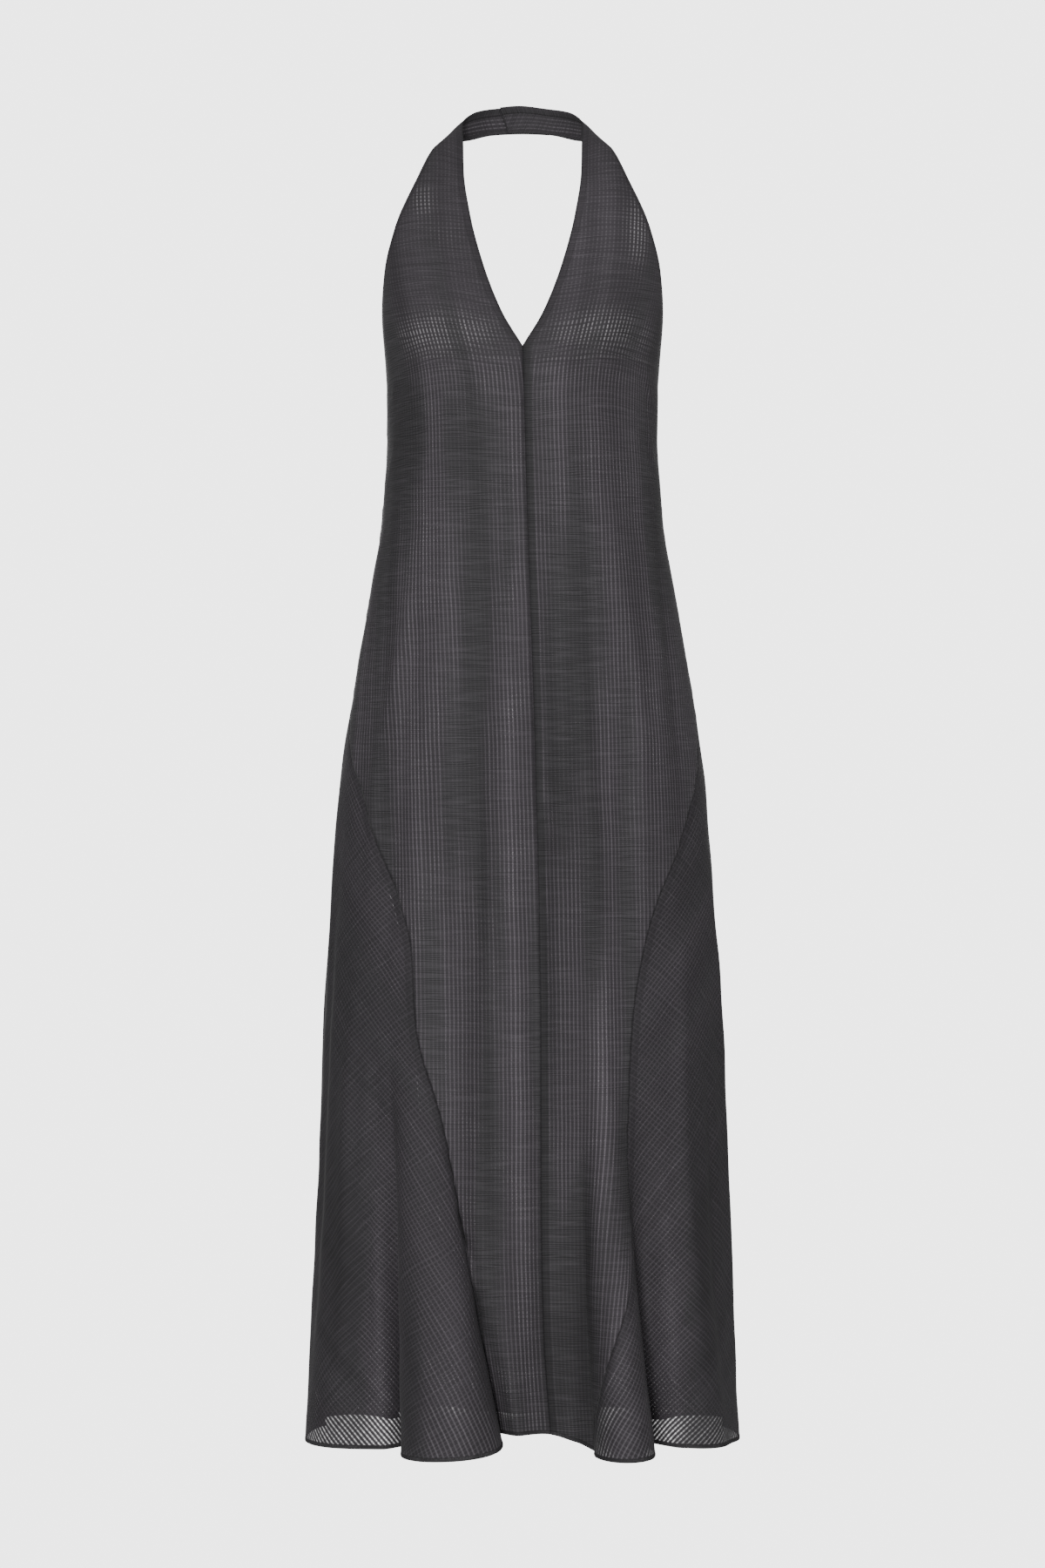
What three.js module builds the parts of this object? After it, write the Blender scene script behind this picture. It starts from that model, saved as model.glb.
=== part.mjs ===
// Halter dress in its worn form with no wearer: two fronts cut in one with their straps, a back, two bias
// godets, narrow strips inside the edges and one button on the lap at the nape.
// Millimetres, +Z up, -Y is the front. The origin is where a wearer's nape holds the dress: on the inner
// face of the lap, at the middle of its height. Left and right are the viewer's.

import * as THREE from 'three';

// Cloth
const WALL = 1.2;
const STRIP_WALL = 0.8;
const HEM_WALL = 2.2;
const HEM_TURN = 6;
const SEAM_GAP = 0.3;
const NECK_STRIP_WIDTH = 8;
const ARM_STRIP_WIDTH = 5;
const BACK_STRIP_WIDTH = 6;

// Heights, as drops below the middle of the band at the nape
const V_DROP = 257;
const UNDERARM_DROP = 266;
const BACK_TOP_DROP = 247;
const GODET_TOP_DROP = 600;
const HEM_DROP = 1368;

// Share of a quarter of the girth at which the back's top edge has come up to its full height
const BACK_TOP_SHARE = 1.6;

// Half the width of a godet at its top point, as a share of a quarter of the girth
const GODET_POINT = 0.012;

// Ends of the two straps past the centre back, as runs along the strap from the V
const RIGHT_END = { neck: 404, arm: 393 };
const LEFT_END = { neck: 406, arm: 406 };
const LAP_START_RUN = 312;
const LAP_FULL_RUN = 350;
const LAP_GAP = 0.9;
const LAP_LIFT = WALL + STRIP_WALL + SEAM_GAP + LAP_GAP;
const LAP_RISE = 1.4;

// Button
const BUTTON_RADIUS = 5.5;
const BUTTON_THICKNESS = 2.4;
const BUTTON_RIM = 0.6;
const BUTTON_SIDES = 24;

// Rows and columns of the panels. The first rows of a panel make the turn of its hem.
const HEM_ROWS = 2;
const HEM_ROW_STEP = 1.25;
const SKIRT_ROWS = 15;
const BODICE_ROWS = 7;
const STRAP_ROWS = 18;
const STRAP_ROW_CROWDING = 1.35;
const FRONT_COLUMNS = 10;
const BACK_COLUMNS = 20;
const GODET_COLUMNS = 34;
const SAMPLES_PER_COLUMN = 16;

// Colours and roughness of the cloth, its doubled edges and the button
const CLOTH_COLOUR = 0x434244;
const GODET_COLOUR = 0x3d3c3e;
const STRIP_COLOUR = 0x2c2b2d;
const BUTTON_COLOUR = 0x252426;
const CLOTH_ROUGHNESS = 0.85;
const BUTTON_ROUGHNESS = 0.45;

// Girth of the dress without its folds. Fullness squares each quarter: 0.55 is an ellipse.
const GIRTH = [
  { drop: 240, halfWidth: 143, front: 121, back: 99, fullness: 0.62 },
  { drop: 300, halfWidth: 140, front: 122, back: 94, fullness: 0.62 },
  { drop: 345, halfWidth: 140, front: 121, back: 89, fullness: 0.62 },
  { drop: 427, halfWidth: 145.4, front: 119, back: 86, fullness: 0.62 },
  { drop: 517, halfWidth: 160.7, front: 117, back: 95, fullness: 0.62 },
  { drop: 607, halfWidth: 176, front: 116, back: 107, fullness: 0.62 },
  { drop: 697, halfWidth: 188.6, front: 116, back: 116, fullness: 0.62 },
  { drop: 832, halfWidth: 198.9, front: 116, back: 124, fullness: 0.62 },
  { drop: 1057, halfWidth: 209.3, front: 117, back: 131, fullness: 0.64 },
  { drop: HEM_DROP, halfWidth: 223.7, front: 118, back: 140, fullness: 0.66 },
];

// Seams as shares of a quarter of the girth: 0 is the centre front, 1 the side, 2 the centre back
const SEAMS = [
  { drop: V_DROP, centre: 0, leftFront: 1, rightFront: 1, leftBack: 1, rightBack: 1 },
  { drop: GODET_TOP_DROP, centre: 0.033, leftFront: 1, rightFront: 1, leftBack: 1, rightBack: 1 },
  { drop: 650, centre: 0.036, leftFront: 0.85, rightFront: 0.89, leftBack: 1.12, rightBack: 1.12 },
  { drop: 702, centre: 0.038, leftFront: 0.65, rightFront: 0.75, leftBack: 1.3, rightBack: 1.3 },
  { drop: 755, centre: 0.042, leftFront: 0.53, rightFront: 0.605, leftBack: 1.42, rightBack: 1.42 },
  { drop: 807, centre: 0.045, leftFront: 0.42, rightFront: 0.475, leftBack: 1.52, rightBack: 1.52 },
  { drop: 860, centre: 0.047, leftFront: 0.353, rightFront: 0.398, leftBack: 1.58, rightBack: 1.58 },
  { drop: 940, centre: 0.049, leftFront: 0.325, rightFront: 0.336, leftBack: 1.63, rightBack: 1.63 },
  { drop: 1040, centre: 0.048, leftFront: 0.235, rightFront: 0.31, leftBack: 1.69, rightBack: 1.68 },
  { drop: 1150, centre: 0.047, leftFront: 0.155, rightFront: 0.29, leftBack: 1.75, rightBack: 1.73 },
  { drop: 1260, centre: 0.051, leftFront: 0.1, rightFront: 0.235, leftBack: 1.79, rightBack: 1.77 },
  { drop: HEM_DROP, centre: 0.066, leftFront: 0.075, rightFront: 0.19, leftBack: 1.83, rightBack: 1.8 },
];

// Height of the hem round the skirt
const HEM = [
  { share: -2, drop: 1366 },
  { share: -1, drop: 1370 },
  { share: -0.5, drop: 1367 },
  { share: -0.28, drop: 1365 },
  { share: -0.23, drop: 1368.5 },
  { share: -0.17, drop: 1365.5 },
  { share: -0.1, drop: 1356 },
  { share: -0.06, drop: 1351 },
  { share: 0.05, drop: 1349 },
  { share: 0.13, drop: 1356 },
  { share: 0.21, drop: 1369 },
  { share: 0.29, drop: 1367 },
  { share: 0.36, drop: 1364 },
  { share: 0.6, drop: 1367 },
  { share: 1, drop: 1370 },
  { share: 2, drop: 1366 },
];

// Flutes and the hollows between them, from their start down to the hem. A flute stands out by its depth at
// the hem, and its sides swell, which makes it broader in front than at its root. Top and foot are its
// places at the start and at the hem.
const FLUTES = [
  { name: 'left flute', top: -0.36, foot: -0.172, spread: 0.1, depth: 57, swell: 32, start: 900 },
  { name: 'left flute outer root', top: -0.44, foot: -0.29, spread: 0.11, depth: -42, swell: 0, start: 960 },
  { name: 'left flute inner root', top: -0.2, foot: -0.06, spread: 0.07, depth: -30, swell: 0, start: 1080 },
  { name: 'centre hollow', top: 0.06, foot: 0.05, spread: 0.09, depth: -12, swell: 0, start: 900 },
  { name: 'right flute inner root', top: 0.13, foot: 0.17, spread: 0.07, depth: -6, swell: 0, start: 980 },
  { name: 'right flute', top: 0.22, foot: 0.263, spread: 0.08, depth: 54, swell: 14, start: 960 },
  { name: 'right flute outer root', top: 0.36, foot: 0.37, spread: 0.09, depth: -32, swell: 0, start: 980 },
  { name: 'left side lobe', top: -0.7, foot: -0.68, spread: 0.3, depth: 7, swell: 0, start: 900 },
  { name: 'right side lobe', top: 0.6, foot: 0.6, spread: 0.22, depth: 12, swell: 0, start: 900 },
  { name: 'back left flute', top: -1.38, foot: -1.43, spread: 0.15, depth: 34, swell: 12, start: 860 },
  { name: 'back left hollow', top: -1.54, foot: -1.58, spread: 0.1, depth: -20, swell: 0, start: 930 },
  { name: 'back left middle flute', top: -1.7, foot: -1.75, spread: 0.12, depth: 42, swell: 17, start: 930 },
  { name: 'back right flute', top: 1.38, foot: 1.4, spread: 0.14, depth: 37, swell: 13, start: 900 },
  { name: 'back right hollow', top: 1.56, foot: 1.58, spread: 0.11, depth: -22, swell: 0, start: 930 },
  { name: 'back right middle flute', top: 1.72, foot: 1.77, spread: 0.12, depth: 36, swell: 14, start: 1000 },
  { name: 'centre back hollow', top: 2, foot: 2.01, spread: 0.13, depth: -14, swell: 0, start: 900 },
];
const FLUTE_GROWTH = 1.3;

// Long soft ridges and hollows that rise from start to full and die away by end
const SOFT_FOLDS = [
  { name: 'left bust ridge', place: -0.4, spread: 0.17, depth: 4, start: 330, full: 600, end: 960 },
  { name: 'left bust hollow', place: -0.2, spread: 0.14, depth: -3, start: 380, full: 620, end: 980 },
  { name: 'centre ridge', place: -0.03, spread: 0.07, depth: 3, start: 470, full: 800, end: 1250 },
  { name: 'centre seam hollow', place: 0.12, spread: 0.09, depth: -4, start: 380, full: 760, end: 1300 },
  { name: 'right thigh ridge', place: 0.26, spread: 0.1, depth: 3.5, start: 700, full: 1000, end: 1300 },
  { name: 'right hip ridge', place: 0.5, spread: 0.15, depth: 3.5, start: 400, full: 690, end: 900 },
  { name: 'back left ridge', place: -1.6, spread: 0.16, depth: 4, start: 380, full: 640, end: 1000 },
  { name: 'back middle hollow', place: 1.97, spread: 0.15, depth: -4, start: 330, full: 560, end: 900 },
  { name: 'back right ridge', place: 1.66, spread: 0.18, depth: 4.5, start: 350, full: 700, end: 980 },
];

// Strap rows, seen on the right one: the neck edge, the arm edge and the point that the row leans out to.
// Run is the length along the strap from the V. The rows past the centre back hold the lap.
const STRAP = [
  {
    run: 0, neckX: 0, neckY: -121.2, neckZ: -257,
    armX: 142, armY: 0, armZ: -266,
    leanX: 142, leanY: -121.5, leanZ: -262,
  },
  {
    run: 42, neckX: 21, neckY: -112, neckZ: -221,
    armX: 144, armY: -30, armZ: -218,
    leanX: 142, leanY: -114, leanZ: -222,
  },
  {
    run: 92, neckX: 40, neckY: -92, neckZ: -170,
    armX: 141, armY: -50, armZ: -175,
    leanX: 130, leanY: -99, leanZ: -177,
  },
  {
    run: 147, neckX: 53, neckY: -66, neckZ: -118,
    armX: 130, armY: -55, armZ: -129,
    leanX: 110, leanY: -82, leanZ: -127,
  },
  {
    run: 202, neckX: 60, neckY: -38, neckZ: -69,
    armX: 109, armY: -42, armZ: -79,
    leanX: 90, leanY: -57, leanZ: -74,
  },
  {
    run: 250, neckX: 61, neckY: -10, neckZ: -33,
    armX: 89.5, armY: -12, armZ: -39,
    leanX: 79, leanY: -19, leanZ: -28,
  },
  {
    run: 286, neckX: 62, neckY: 18, neckZ: -11,
    armX: 76.5, armY: 17, armZ: -30,
    leanX: 76, leanY: 16, leanZ: -14.5,
  },
  {
    run: 318, neckX: 51, neckY: 42, neckZ: 4.5,
    armX: 57, armY: 45, armZ: -24,
    leanX: 56, leanY: 45, leanZ: -9,
  },
  {
    run: 350, neckX: 27, neckY: 57.5, neckZ: 11.4,
    armX: 29, armY: 62, armZ: -15.3,
    leanX: 28.5, leanY: 61, leanZ: -2,
  },
  {
    run: 379, neckX: 0, neckY: 62, neckZ: 14.4,
    armX: 0, armY: 66, armZ: -13.2,
    leanX: 0, leanY: 65, leanZ: 0.5,
  },
  {
    run: 408, neckX: -27, neckY: 57.5, neckZ: 11.4,
    armX: -29, armY: 62, armZ: -15.3,
    leanX: -28.5, leanY: 61, leanZ: -2,
  },
  {
    run: 440, neckX: -51, neckY: 42, neckZ: 4.5,
    armX: -57, armY: 45, armZ: -24,
    leanX: -56, leanY: 45, leanZ: -9,
  },
];
const STRAP_FULLNESS = 0.62;
const NAPE_RUN = 379;
const BAND_MIDDLE = 0.5;

// Small step for slopes and normals
const NUDGE = 0.001;

function mix(from, to, share) {
  return from + (to - from) * share;
}

function easeBetween(from, to, value) {
  return THREE.MathUtils.smoothstep(value, from, to);
}

// Slope of a column at one row of a table: level where the column turns, so that no value overshoots
function slopeAt(table, key, column, index) {
  const slopeFrom = (low) => {
    const rise = table[low + 1][column] - table[low][column];
    return rise / (table[low + 1][key] - table[low][key]);
  };
  const before = slopeFrom(Math.max(index - 1, 0));
  const after = slopeFrom(Math.min(index, table.length - 2));
  return before * after > 0 ? (2 * before * after) / (before + after) : 0;
}

// Smooth value of a column where the key column has the given value
function readTable(table, key, column, value) {
  let index = 0;
  while (index < table.length - 2 && value > table[index + 1][key]) index += 1;
  const low = table[index];
  const high = table[index + 1];
  const step = high[key] - low[key];
  const t = (value - low[key]) / step;
  const lowSlope = slopeAt(table, key, column, index) * step;
  const highSlope = slopeAt(table, key, column, index + 1) * step;
  const rise = high[column] - low[column];
  return low[column] + t * (lowSlope + t * (3 * rise - 2 * lowSlope - highSlope
    + t * (lowSlope + highSlope - 2 * rise)));
}

// Point of a cubic curve from start to end that leans out to a corner
function leaningCurve(start, end, corner, fullness, t) {
  const first = start.clone().lerp(corner, fullness);
  const second = end.clone().lerp(corner, fullness);
  return new THREE.CubicBezierCurve3(start, first, second, end).getPoint(t);
}

// Share brought into the range from -2 to 2, with the centre back at either end
function wrapShare(share) {
  return THREE.MathUtils.euclideanModulo(share + 2, 4) - 2;
}

// Point of the girth without folds
function girthPoint(share, drop) {
  const around = wrapShare(share);
  const sign = around < 0 ? -1 : 1;
  const turn = Math.abs(around);
  const halfWidth = readTable(GIRTH, 'drop', 'halfWidth', drop);
  const atFront = turn <= 1;
  const depth = atFront
    ? -readTable(GIRTH, 'drop', 'front', drop)
    : readTable(GIRTH, 'drop', 'back', drop);
  const middle = new THREE.Vector3(0, depth, -drop);
  const side = new THREE.Vector3(sign * halfWidth, 0, -drop);
  const corner = new THREE.Vector3(sign * halfWidth, depth, -drop);
  const fullness = readTable(GIRTH, 'drop', 'fullness', drop);
  return leaningCurve(middle, side, corner, fullness, atFront ? turn : 2 - turn);
}

// Height of a fold's section at a place, from 1 on its ridge to 0 at its sides
function foldSection(offset) {
  return Math.abs(offset) < 1 ? (1 + Math.cos(Math.PI * offset)) / 2 : 0;
}

// Point of the dress body: the girth with every flute and soft fold that reaches this place
function bodyPoint(share, drop) {
  const point = girthPoint(share, drop);
  const along = girthPoint(share + NUDGE, drop).sub(girthPoint(share - NUDGE, drop)).normalize();
  const outward = new THREE.Vector3(along.y, -along.x, 0);
  for (const flute of FLUTES) {
    const growth = Math.max((drop - flute.start) / (HEM_DROP - flute.start), 0);
    const offset = wrapShare(share - mix(flute.top, flute.foot, growth)) / flute.spread;
    if (Math.abs(offset) >= 1) continue;
    const strength = growth ** FLUTE_GROWTH;
    point.addScaledVector(outward, flute.depth * strength * foldSection(offset));
    point.addScaledVector(along, flute.swell * strength * Math.sin(Math.PI * offset));
  }
  for (const fold of SOFT_FOLDS) {
    const offset = wrapShare(share - fold.place) / fold.spread;
    const strength = easeBetween(fold.start, fold.full, drop) * (1 - easeBetween(fold.full, fold.end, drop));
    point.addScaledVector(outward, fold.depth * strength * foldSection(offset));
  }
  return point;
}

// Drop of the top edge of the body: the V and underarm in front, the straight edge behind
function topDrop(share) {
  const turn = Math.abs(wrapShare(share));
  return turn <= 1
    ? mix(V_DROP, UNDERARM_DROP, turn)
    : mix(UNDERARM_DROP, BACK_TOP_DROP, easeBetween(1, BACK_TOP_SHARE, turn));
}

// Drop at a level: 0 is the hem, 1 the top of the godets, 2 the top edge
function dropAt(share, level) {
  if (level <= 1) return mix(readTable(HEM, 'share', 'drop', wrapShare(share)), GODET_TOP_DROP, level);
  return mix(GODET_TOP_DROP, topDrop(share), level - 1);
}

function seamDropAt(level) {
  return level <= 1 ? mix(HEM_DROP, GODET_TOP_DROP, level) : mix(GODET_TOP_DROP, V_DROP, level - 1);
}

function bodyAtLevel(share, level) {
  return bodyPoint(share, dropAt(share, level));
}

function seamShare(column, level) {
  return readTable(SEAMS, 'drop', column, seamDropAt(level));
}

// Point of a strap: across runs from the neck edge to the arm edge
function strapPoint(side, across, run) {
  const corner = (edge) => new THREE.Vector3(
    side * readTable(STRAP, 'run', `${edge}X`, run),
    readTable(STRAP, 'run', `${edge}Y`, run),
    readTable(STRAP, 'run', `${edge}Z`, run),
  );
  const point = leaningCurve(corner('neck'), corner('arm'), corner('lean'), STRAP_FULLNESS, across);
  point.z += side * LAP_RISE * easeBetween(LAP_FULL_RUN, RIGHT_END.arm, run) * (1 - across);
  return point;
}

// Outward normal of a surface given by two numbers that rise round the girth and up the dress
function outwardNormal(surface, a, b) {
  const alongA = surface(a + NUDGE, b).sub(surface(a - NUDGE, b));
  const alongB = surface(a, b + NUDGE).sub(surface(a, b - NUDGE));
  return alongA.cross(alongB).normalize();
}

// One knot of a panel: a point of the cloth's outer face and the way out of it
function bodyKnot(share, level) {
  return { point: bodyAtLevel(share, level), normal: outwardNormal(bodyAtLevel, share, level) };
}

function strapKnot(side, across, run) {
  const surface = (a, b) => strapPoint(side, side * a, b);
  const normal = outwardNormal(surface, side * across, run);
  const point = strapPoint(side, across, run);
  if (side < 0) point.addScaledVector(normal, LAP_LIFT * easeBetween(LAP_START_RUN, LAP_FULL_RUN, run));
  return { point, normal };
}

// Shares between two ends of a row, at equal steps along the cloth
function evenShares(from, to, level, count) {
  const samples = SAMPLES_PER_COLUMN * count;
  const lengths = [0];
  let last = bodyAtLevel(from, level);
  for (let i = 1; i <= samples; i += 1) {
    const next = bodyAtLevel(mix(from, to, i / samples), level);
    lengths.push(lengths[i - 1] + next.distanceTo(last));
    last = next;
  }
  const shares = [];
  for (let i = 0; shares.length < count; i += 1) {
    if (lengths[i] * count >= lengths[samples] * shares.length) shares.push(mix(from, to, i / samples));
  }
  return [...shares, to];
}

function evenFractions(count) {
  return Array.from({ length: count + 1 }, (_, i) => i / count);
}

// Levels of the rows, with one row at the fold of the hem's turn
function levelsUpTo(bodiceRows) {
  const turn = HEM_TURN / (HEM_DROP - GODET_TOP_DROP);
  const skirt = evenFractions(SKIRT_ROWS).slice(1);
  const bodice = evenFractions(bodiceRows).slice(1).map((fraction) => 1 + fraction);
  return [0, turn, turn * HEM_ROW_STEP, ...skirt, ...(bodiceRows > 0 ? bodice : [])];
}

// Moves the first and last knots of each row in from the seam by half the seam's gap
function insetSeams(rows) {
  for (const row of rows) {
    const ends = [[row[0], row[1]], [row[row.length - 1], row[row.length - 2]]];
    for (const [edge, inner] of ends) {
      const inward = inner.point.clone().sub(edge.point).normalize();
      edge.point.addScaledVector(inward, SEAM_GAP / 2);
    }
  }
  return rows;
}

// Closed wall from rows of knots: its outer face is set in by one distance, its inner face by another
// The inner face of the turned rows is set in by the thickness of the hem.
function wallGeometry(rows, outerInset, innerInset, turnedRows = 0) {
  const columns = rows[0].length;
  const positions = [];
  const face = (inset, turnInset) => rows.forEach((row, i) => row.forEach((knot) => {
    const depth = i < turnedRows ? turnInset : inset;
    positions.push(...knot.point.clone().addScaledVector(knot.normal, -depth).toArray());
  }));
  face(outerInset, outerInset);
  face(innerInset, HEM_WALL);
  const inner = rows.length * columns;
  const indices = [];
  const quad = (a, b, c, d) => indices.push(a, b, c, a, c, d);
  const knotGap = (i, j, k, l) => rows[i][j].point.distanceTo(rows[k][l].point);
  for (let i = 0; i < rows.length - 1; i += 1) {
    for (let j = 0; j < columns - 1; j += 1) {
      const a = i * columns + j;
      const corners = [a, a + 1, a + 1 + columns, a + columns];
      if (knotGap(i, j, i + 1, j + 1) > knotGap(i, j + 1, i + 1, j)) corners.push(corners.shift());
      const [p, q, r, t] = corners;
      quad(p, q, r, t);
      quad(inner + r, inner + q, inner + p, inner + t);
    }
    const start = i * columns;
    const end = start + columns - 1;
    quad(start, start + columns, inner + start + columns, inner + start);
    quad(end, inner + end, inner + end + columns, end + columns);
  }
  for (let j = 0; j < columns - 1; j += 1) {
    const top = (rows.length - 1) * columns + j;
    quad(j, inner + j, inner + j + 1, j + 1);
    quad(top, top + 1, inner + top + 1, inner + top);
  }
  const geometry = new THREE.BufferGeometry();
  geometry.setAttribute('position', new THREE.Float32BufferAttribute(positions, 3));
  geometry.setIndex(indices);
  geometry.computeVertexNormals();
  return geometry;
}

function clothMesh(name, geometry, color) {
  const material = new THREE.MeshStandardMaterial({ color, roughness: CLOTH_ROUGHNESS });
  const mesh = new THREE.Mesh(geometry, material);
  mesh.name = name;
  return mesh;
}

// Fractions across a strap with one column at the inner edge of each edge strip
function strapFractions(side, run) {
  const speed = (across) => strapPoint(side, across + NUDGE, run)
    .distanceTo(strapPoint(side, across - NUDGE, run)) / (2 * NUDGE);
  const first = NECK_STRIP_WIDTH / speed(0.5 * NECK_STRIP_WIDTH / speed(0));
  const last = 1 - ARM_STRIP_WIDTH / speed(1 - 0.5 * ARM_STRIP_WIDTH / speed(1));
  const middle = evenFractions(FRONT_COLUMNS - 2).map((fraction) => mix(first, last, fraction));
  return [0, ...middle, 1];
}

// Rows of a front: the body up to the V and underarm, then the strap to its end at the nape
function frontRows(side) {
  const outer = side < 0 ? 'leftFront' : 'rightFront';
  const end = side < 0 ? LEFT_END : RIGHT_END;
  const atStrap = strapFractions(side, 0);
  const rows = levelsUpTo(BODICE_ROWS).map((level) => {
    const centre = seamShare('centre', level);
    const edge = side * (seamShare(outer, level) - (level === 1 ? GODET_POINT : 0));
    const atTop = Math.max(level - 1, 0);
    return evenShares(centre, edge, level, FRONT_COLUMNS).map((share, j) => {
      return bodyKnot(mix(share, mix(centre, edge, atStrap[j]), atTop), level);
    });
  });
  for (let i = 1; i <= STRAP_ROWS; i += 1) {
    const progress = 1 - (1 - i / STRAP_ROWS) ** STRAP_ROW_CROWDING;
    const middleRun = progress * (end.neck + end.arm) / 2;
    rows.push(strapFractions(side, middleRun).map((across) => {
      return strapKnot(side, across, progress * mix(end.neck, end.arm, across));
    }));
  }
  insetSeams(rows);
  return side < 0 ? rows.map((row) => row.reverse()) : rows;
}

// Rows of a godet from its hem to its point at the side, from one seam round to the other
function godetRows(side) {
  const name = side < 0 ? 'left' : 'right';
  const rows = levelsUpTo(0).map((level) => {
    const point = level === 1 ? GODET_POINT : 0;
    const front = side * (seamShare(`${name}Front`, level) - point);
    const back = side * (seamShare(`${name}Back`, level) + point);
    return evenShares(front, back, level, GODET_COLUMNS).map((share) => bodyKnot(share, level));
  });
  insetSeams(rows);
  return side < 0 ? rows.map((row) => row.reverse()) : rows;
}

// Rows of the back from its right seam round to its left seam
function backRows() {
  const rows = levelsUpTo(BODICE_ROWS).map((level) => {
    const point = level === 1 ? GODET_POINT : 0;
    const right = seamShare('rightBack', level) + point;
    const left = 4 - seamShare('leftBack', level) - point;
    return evenShares(right, left, level, BACK_COLUMNS).map((share) => bodyKnot(share, level));
  });
  return insetSeams(rows);
}

function panelMesh(name, rows, color) {
  return clothMesh(name, wallGeometry(rows, 0, WALL, HEM_ROWS), color);
}

// A strip on the inner face of a panel, made from the panel's own knots
function stripMesh(name, rows) {
  const outerInset = WALL + SEAM_GAP;
  return clothMesh(name, wallGeometry(rows, outerInset, outerInset + STRIP_WALL), STRIP_COLOUR);
}

function strapStripRows(rows, side, edge) {
  const strapRows = rows.slice(-STRAP_ROWS - 1);
  const fromStart = (edge === 'neck') === (side > 0);
  return strapRows.map((row) => (fromStart ? row.slice(0, 2) : row.slice(-2)));
}

// Strip along the top of the back, from the panel's top row down by the strip's width
function backStripRows(rows) {
  const top = rows[rows.length - 1].slice(1, -1);
  const below = rows[rows.length - 2].slice(1, -1);
  const lower = top.map((knot, j) => {
    const down = below[j].point.clone().sub(knot.point).normalize();
    return { point: knot.point.clone().addScaledVector(down, BACK_STRIP_WIDTH), normal: knot.normal };
  });
  return [lower, top];
}

// A round button with softened rims, its flat face on the outer side of the lap
function buttonMesh() {
  const half = BUTTON_THICKNESS / 2;
  const profile = [
    new THREE.Vector2(0, -half),
    new THREE.Vector2(BUTTON_RADIUS - BUTTON_RIM, -half),
    new THREE.Vector2(BUTTON_RADIUS, -half + BUTTON_RIM),
    new THREE.Vector2(BUTTON_RADIUS, half - BUTTON_RIM),
    new THREE.Vector2(BUTTON_RADIUS - BUTTON_RIM, half),
    new THREE.Vector2(0, half),
  ];
  const material = new THREE.MeshStandardMaterial({ color: BUTTON_COLOUR, roughness: BUTTON_ROUGHNESS });
  const mesh = new THREE.Mesh(new THREE.LatheGeometry(profile, BUTTON_SIDES), material);
  mesh.name = 'nape_button';
  const seat = strapKnot(-1, BAND_MIDDLE, NAPE_RUN);
  mesh.position.copy(seat.point).addScaledVector(seat.normal, half + SEAM_GAP);
  mesh.quaternion.setFromUnitVectors(new THREE.Vector3(0, 1, 0), seat.normal);
  return mesh;
}

function buildDress() {
  const body = new THREE.Group();
  for (const side of [-1, 1]) {
    const name = side < 0 ? 'left' : 'right';
    const rows = frontRows(side);
    body.add(panelMesh(`front_${name}`, rows, CLOTH_COLOUR));
    body.add(stripMesh(`neck_strip_${name}`, strapStripRows(rows, side, 'neck')));
    body.add(stripMesh(`armhole_strip_${name}`, strapStripRows(rows, side, 'arm')));
    body.add(panelMesh(`godet_${name}`, godetRows(side), GODET_COLOUR));
  }
  const back = backRows();
  body.add(panelMesh('back', back, CLOTH_COLOUR));
  body.add(stripMesh('back_strip', backStripRows(back)));
  body.add(buttonMesh());

  // The inner face of the right strap at the nape is the origin
  const hold = strapKnot(1, BAND_MIDDLE, NAPE_RUN);
  body.position.copy(hold.point).addScaledVector(hold.normal, -WALL).negate();
  const dress = new THREE.Group();
  dress.add(body);
  return dress;
}

export default buildDress();
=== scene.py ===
"""Charcoal halter dress in its worn form: the looks of each piece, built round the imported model.

Every panel is a thin shell of semi-sheer cloth on the form of its solid, worked out with numpy from the same
named sizes as the solids. Lengths in the tables are millimetres and Blender's are metres. Left and right are
the viewer's, -Y is the front and +Z is up.

A point of the body has a share and a drop. The share runs round the body: 0 at the middle of the front, 1 at
the right side, -1 at the left one, and 2 or -2 at the middle of the back. The drop is the way down from the
band. A point of a strap has a run, its way from the V to the nape, and a place across from neck to armhole.
"""
import logging
import math
from dataclasses import dataclass
from enum import Enum

import bpy
import numpy as np
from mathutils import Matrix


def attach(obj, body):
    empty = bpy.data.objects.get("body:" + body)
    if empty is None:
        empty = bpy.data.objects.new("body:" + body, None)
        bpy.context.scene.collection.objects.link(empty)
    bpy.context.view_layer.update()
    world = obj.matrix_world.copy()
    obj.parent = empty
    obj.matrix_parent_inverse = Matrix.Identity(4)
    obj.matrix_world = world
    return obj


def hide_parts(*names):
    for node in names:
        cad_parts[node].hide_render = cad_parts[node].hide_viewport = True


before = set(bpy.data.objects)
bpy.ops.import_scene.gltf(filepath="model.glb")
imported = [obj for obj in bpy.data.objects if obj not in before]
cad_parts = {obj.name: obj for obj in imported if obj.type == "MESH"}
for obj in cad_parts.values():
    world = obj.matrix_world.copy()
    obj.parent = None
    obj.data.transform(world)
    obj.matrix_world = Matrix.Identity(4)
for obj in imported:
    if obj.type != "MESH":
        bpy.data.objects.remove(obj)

LOG = logging.getLogger("halter_dress")

MM = 0.001
TINY = 1e-12
FAR = 1000.0
CAD_WALL = 1.2
FIRST_RAIL = 0.2
BODY = "root"


class Side(Enum):
    """The viewer's left or right half of the dress."""

    LEFT = -1
    RIGHT = 1

    @property
    def word(self) -> str:
        """The side's name as the nodes spell it."""
        return self.name.lower()


class Bias(Enum):
    """How a godet's weave leans from upright, in degrees."""

    LEFT = 45.0
    RIGHT = -45.0


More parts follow.
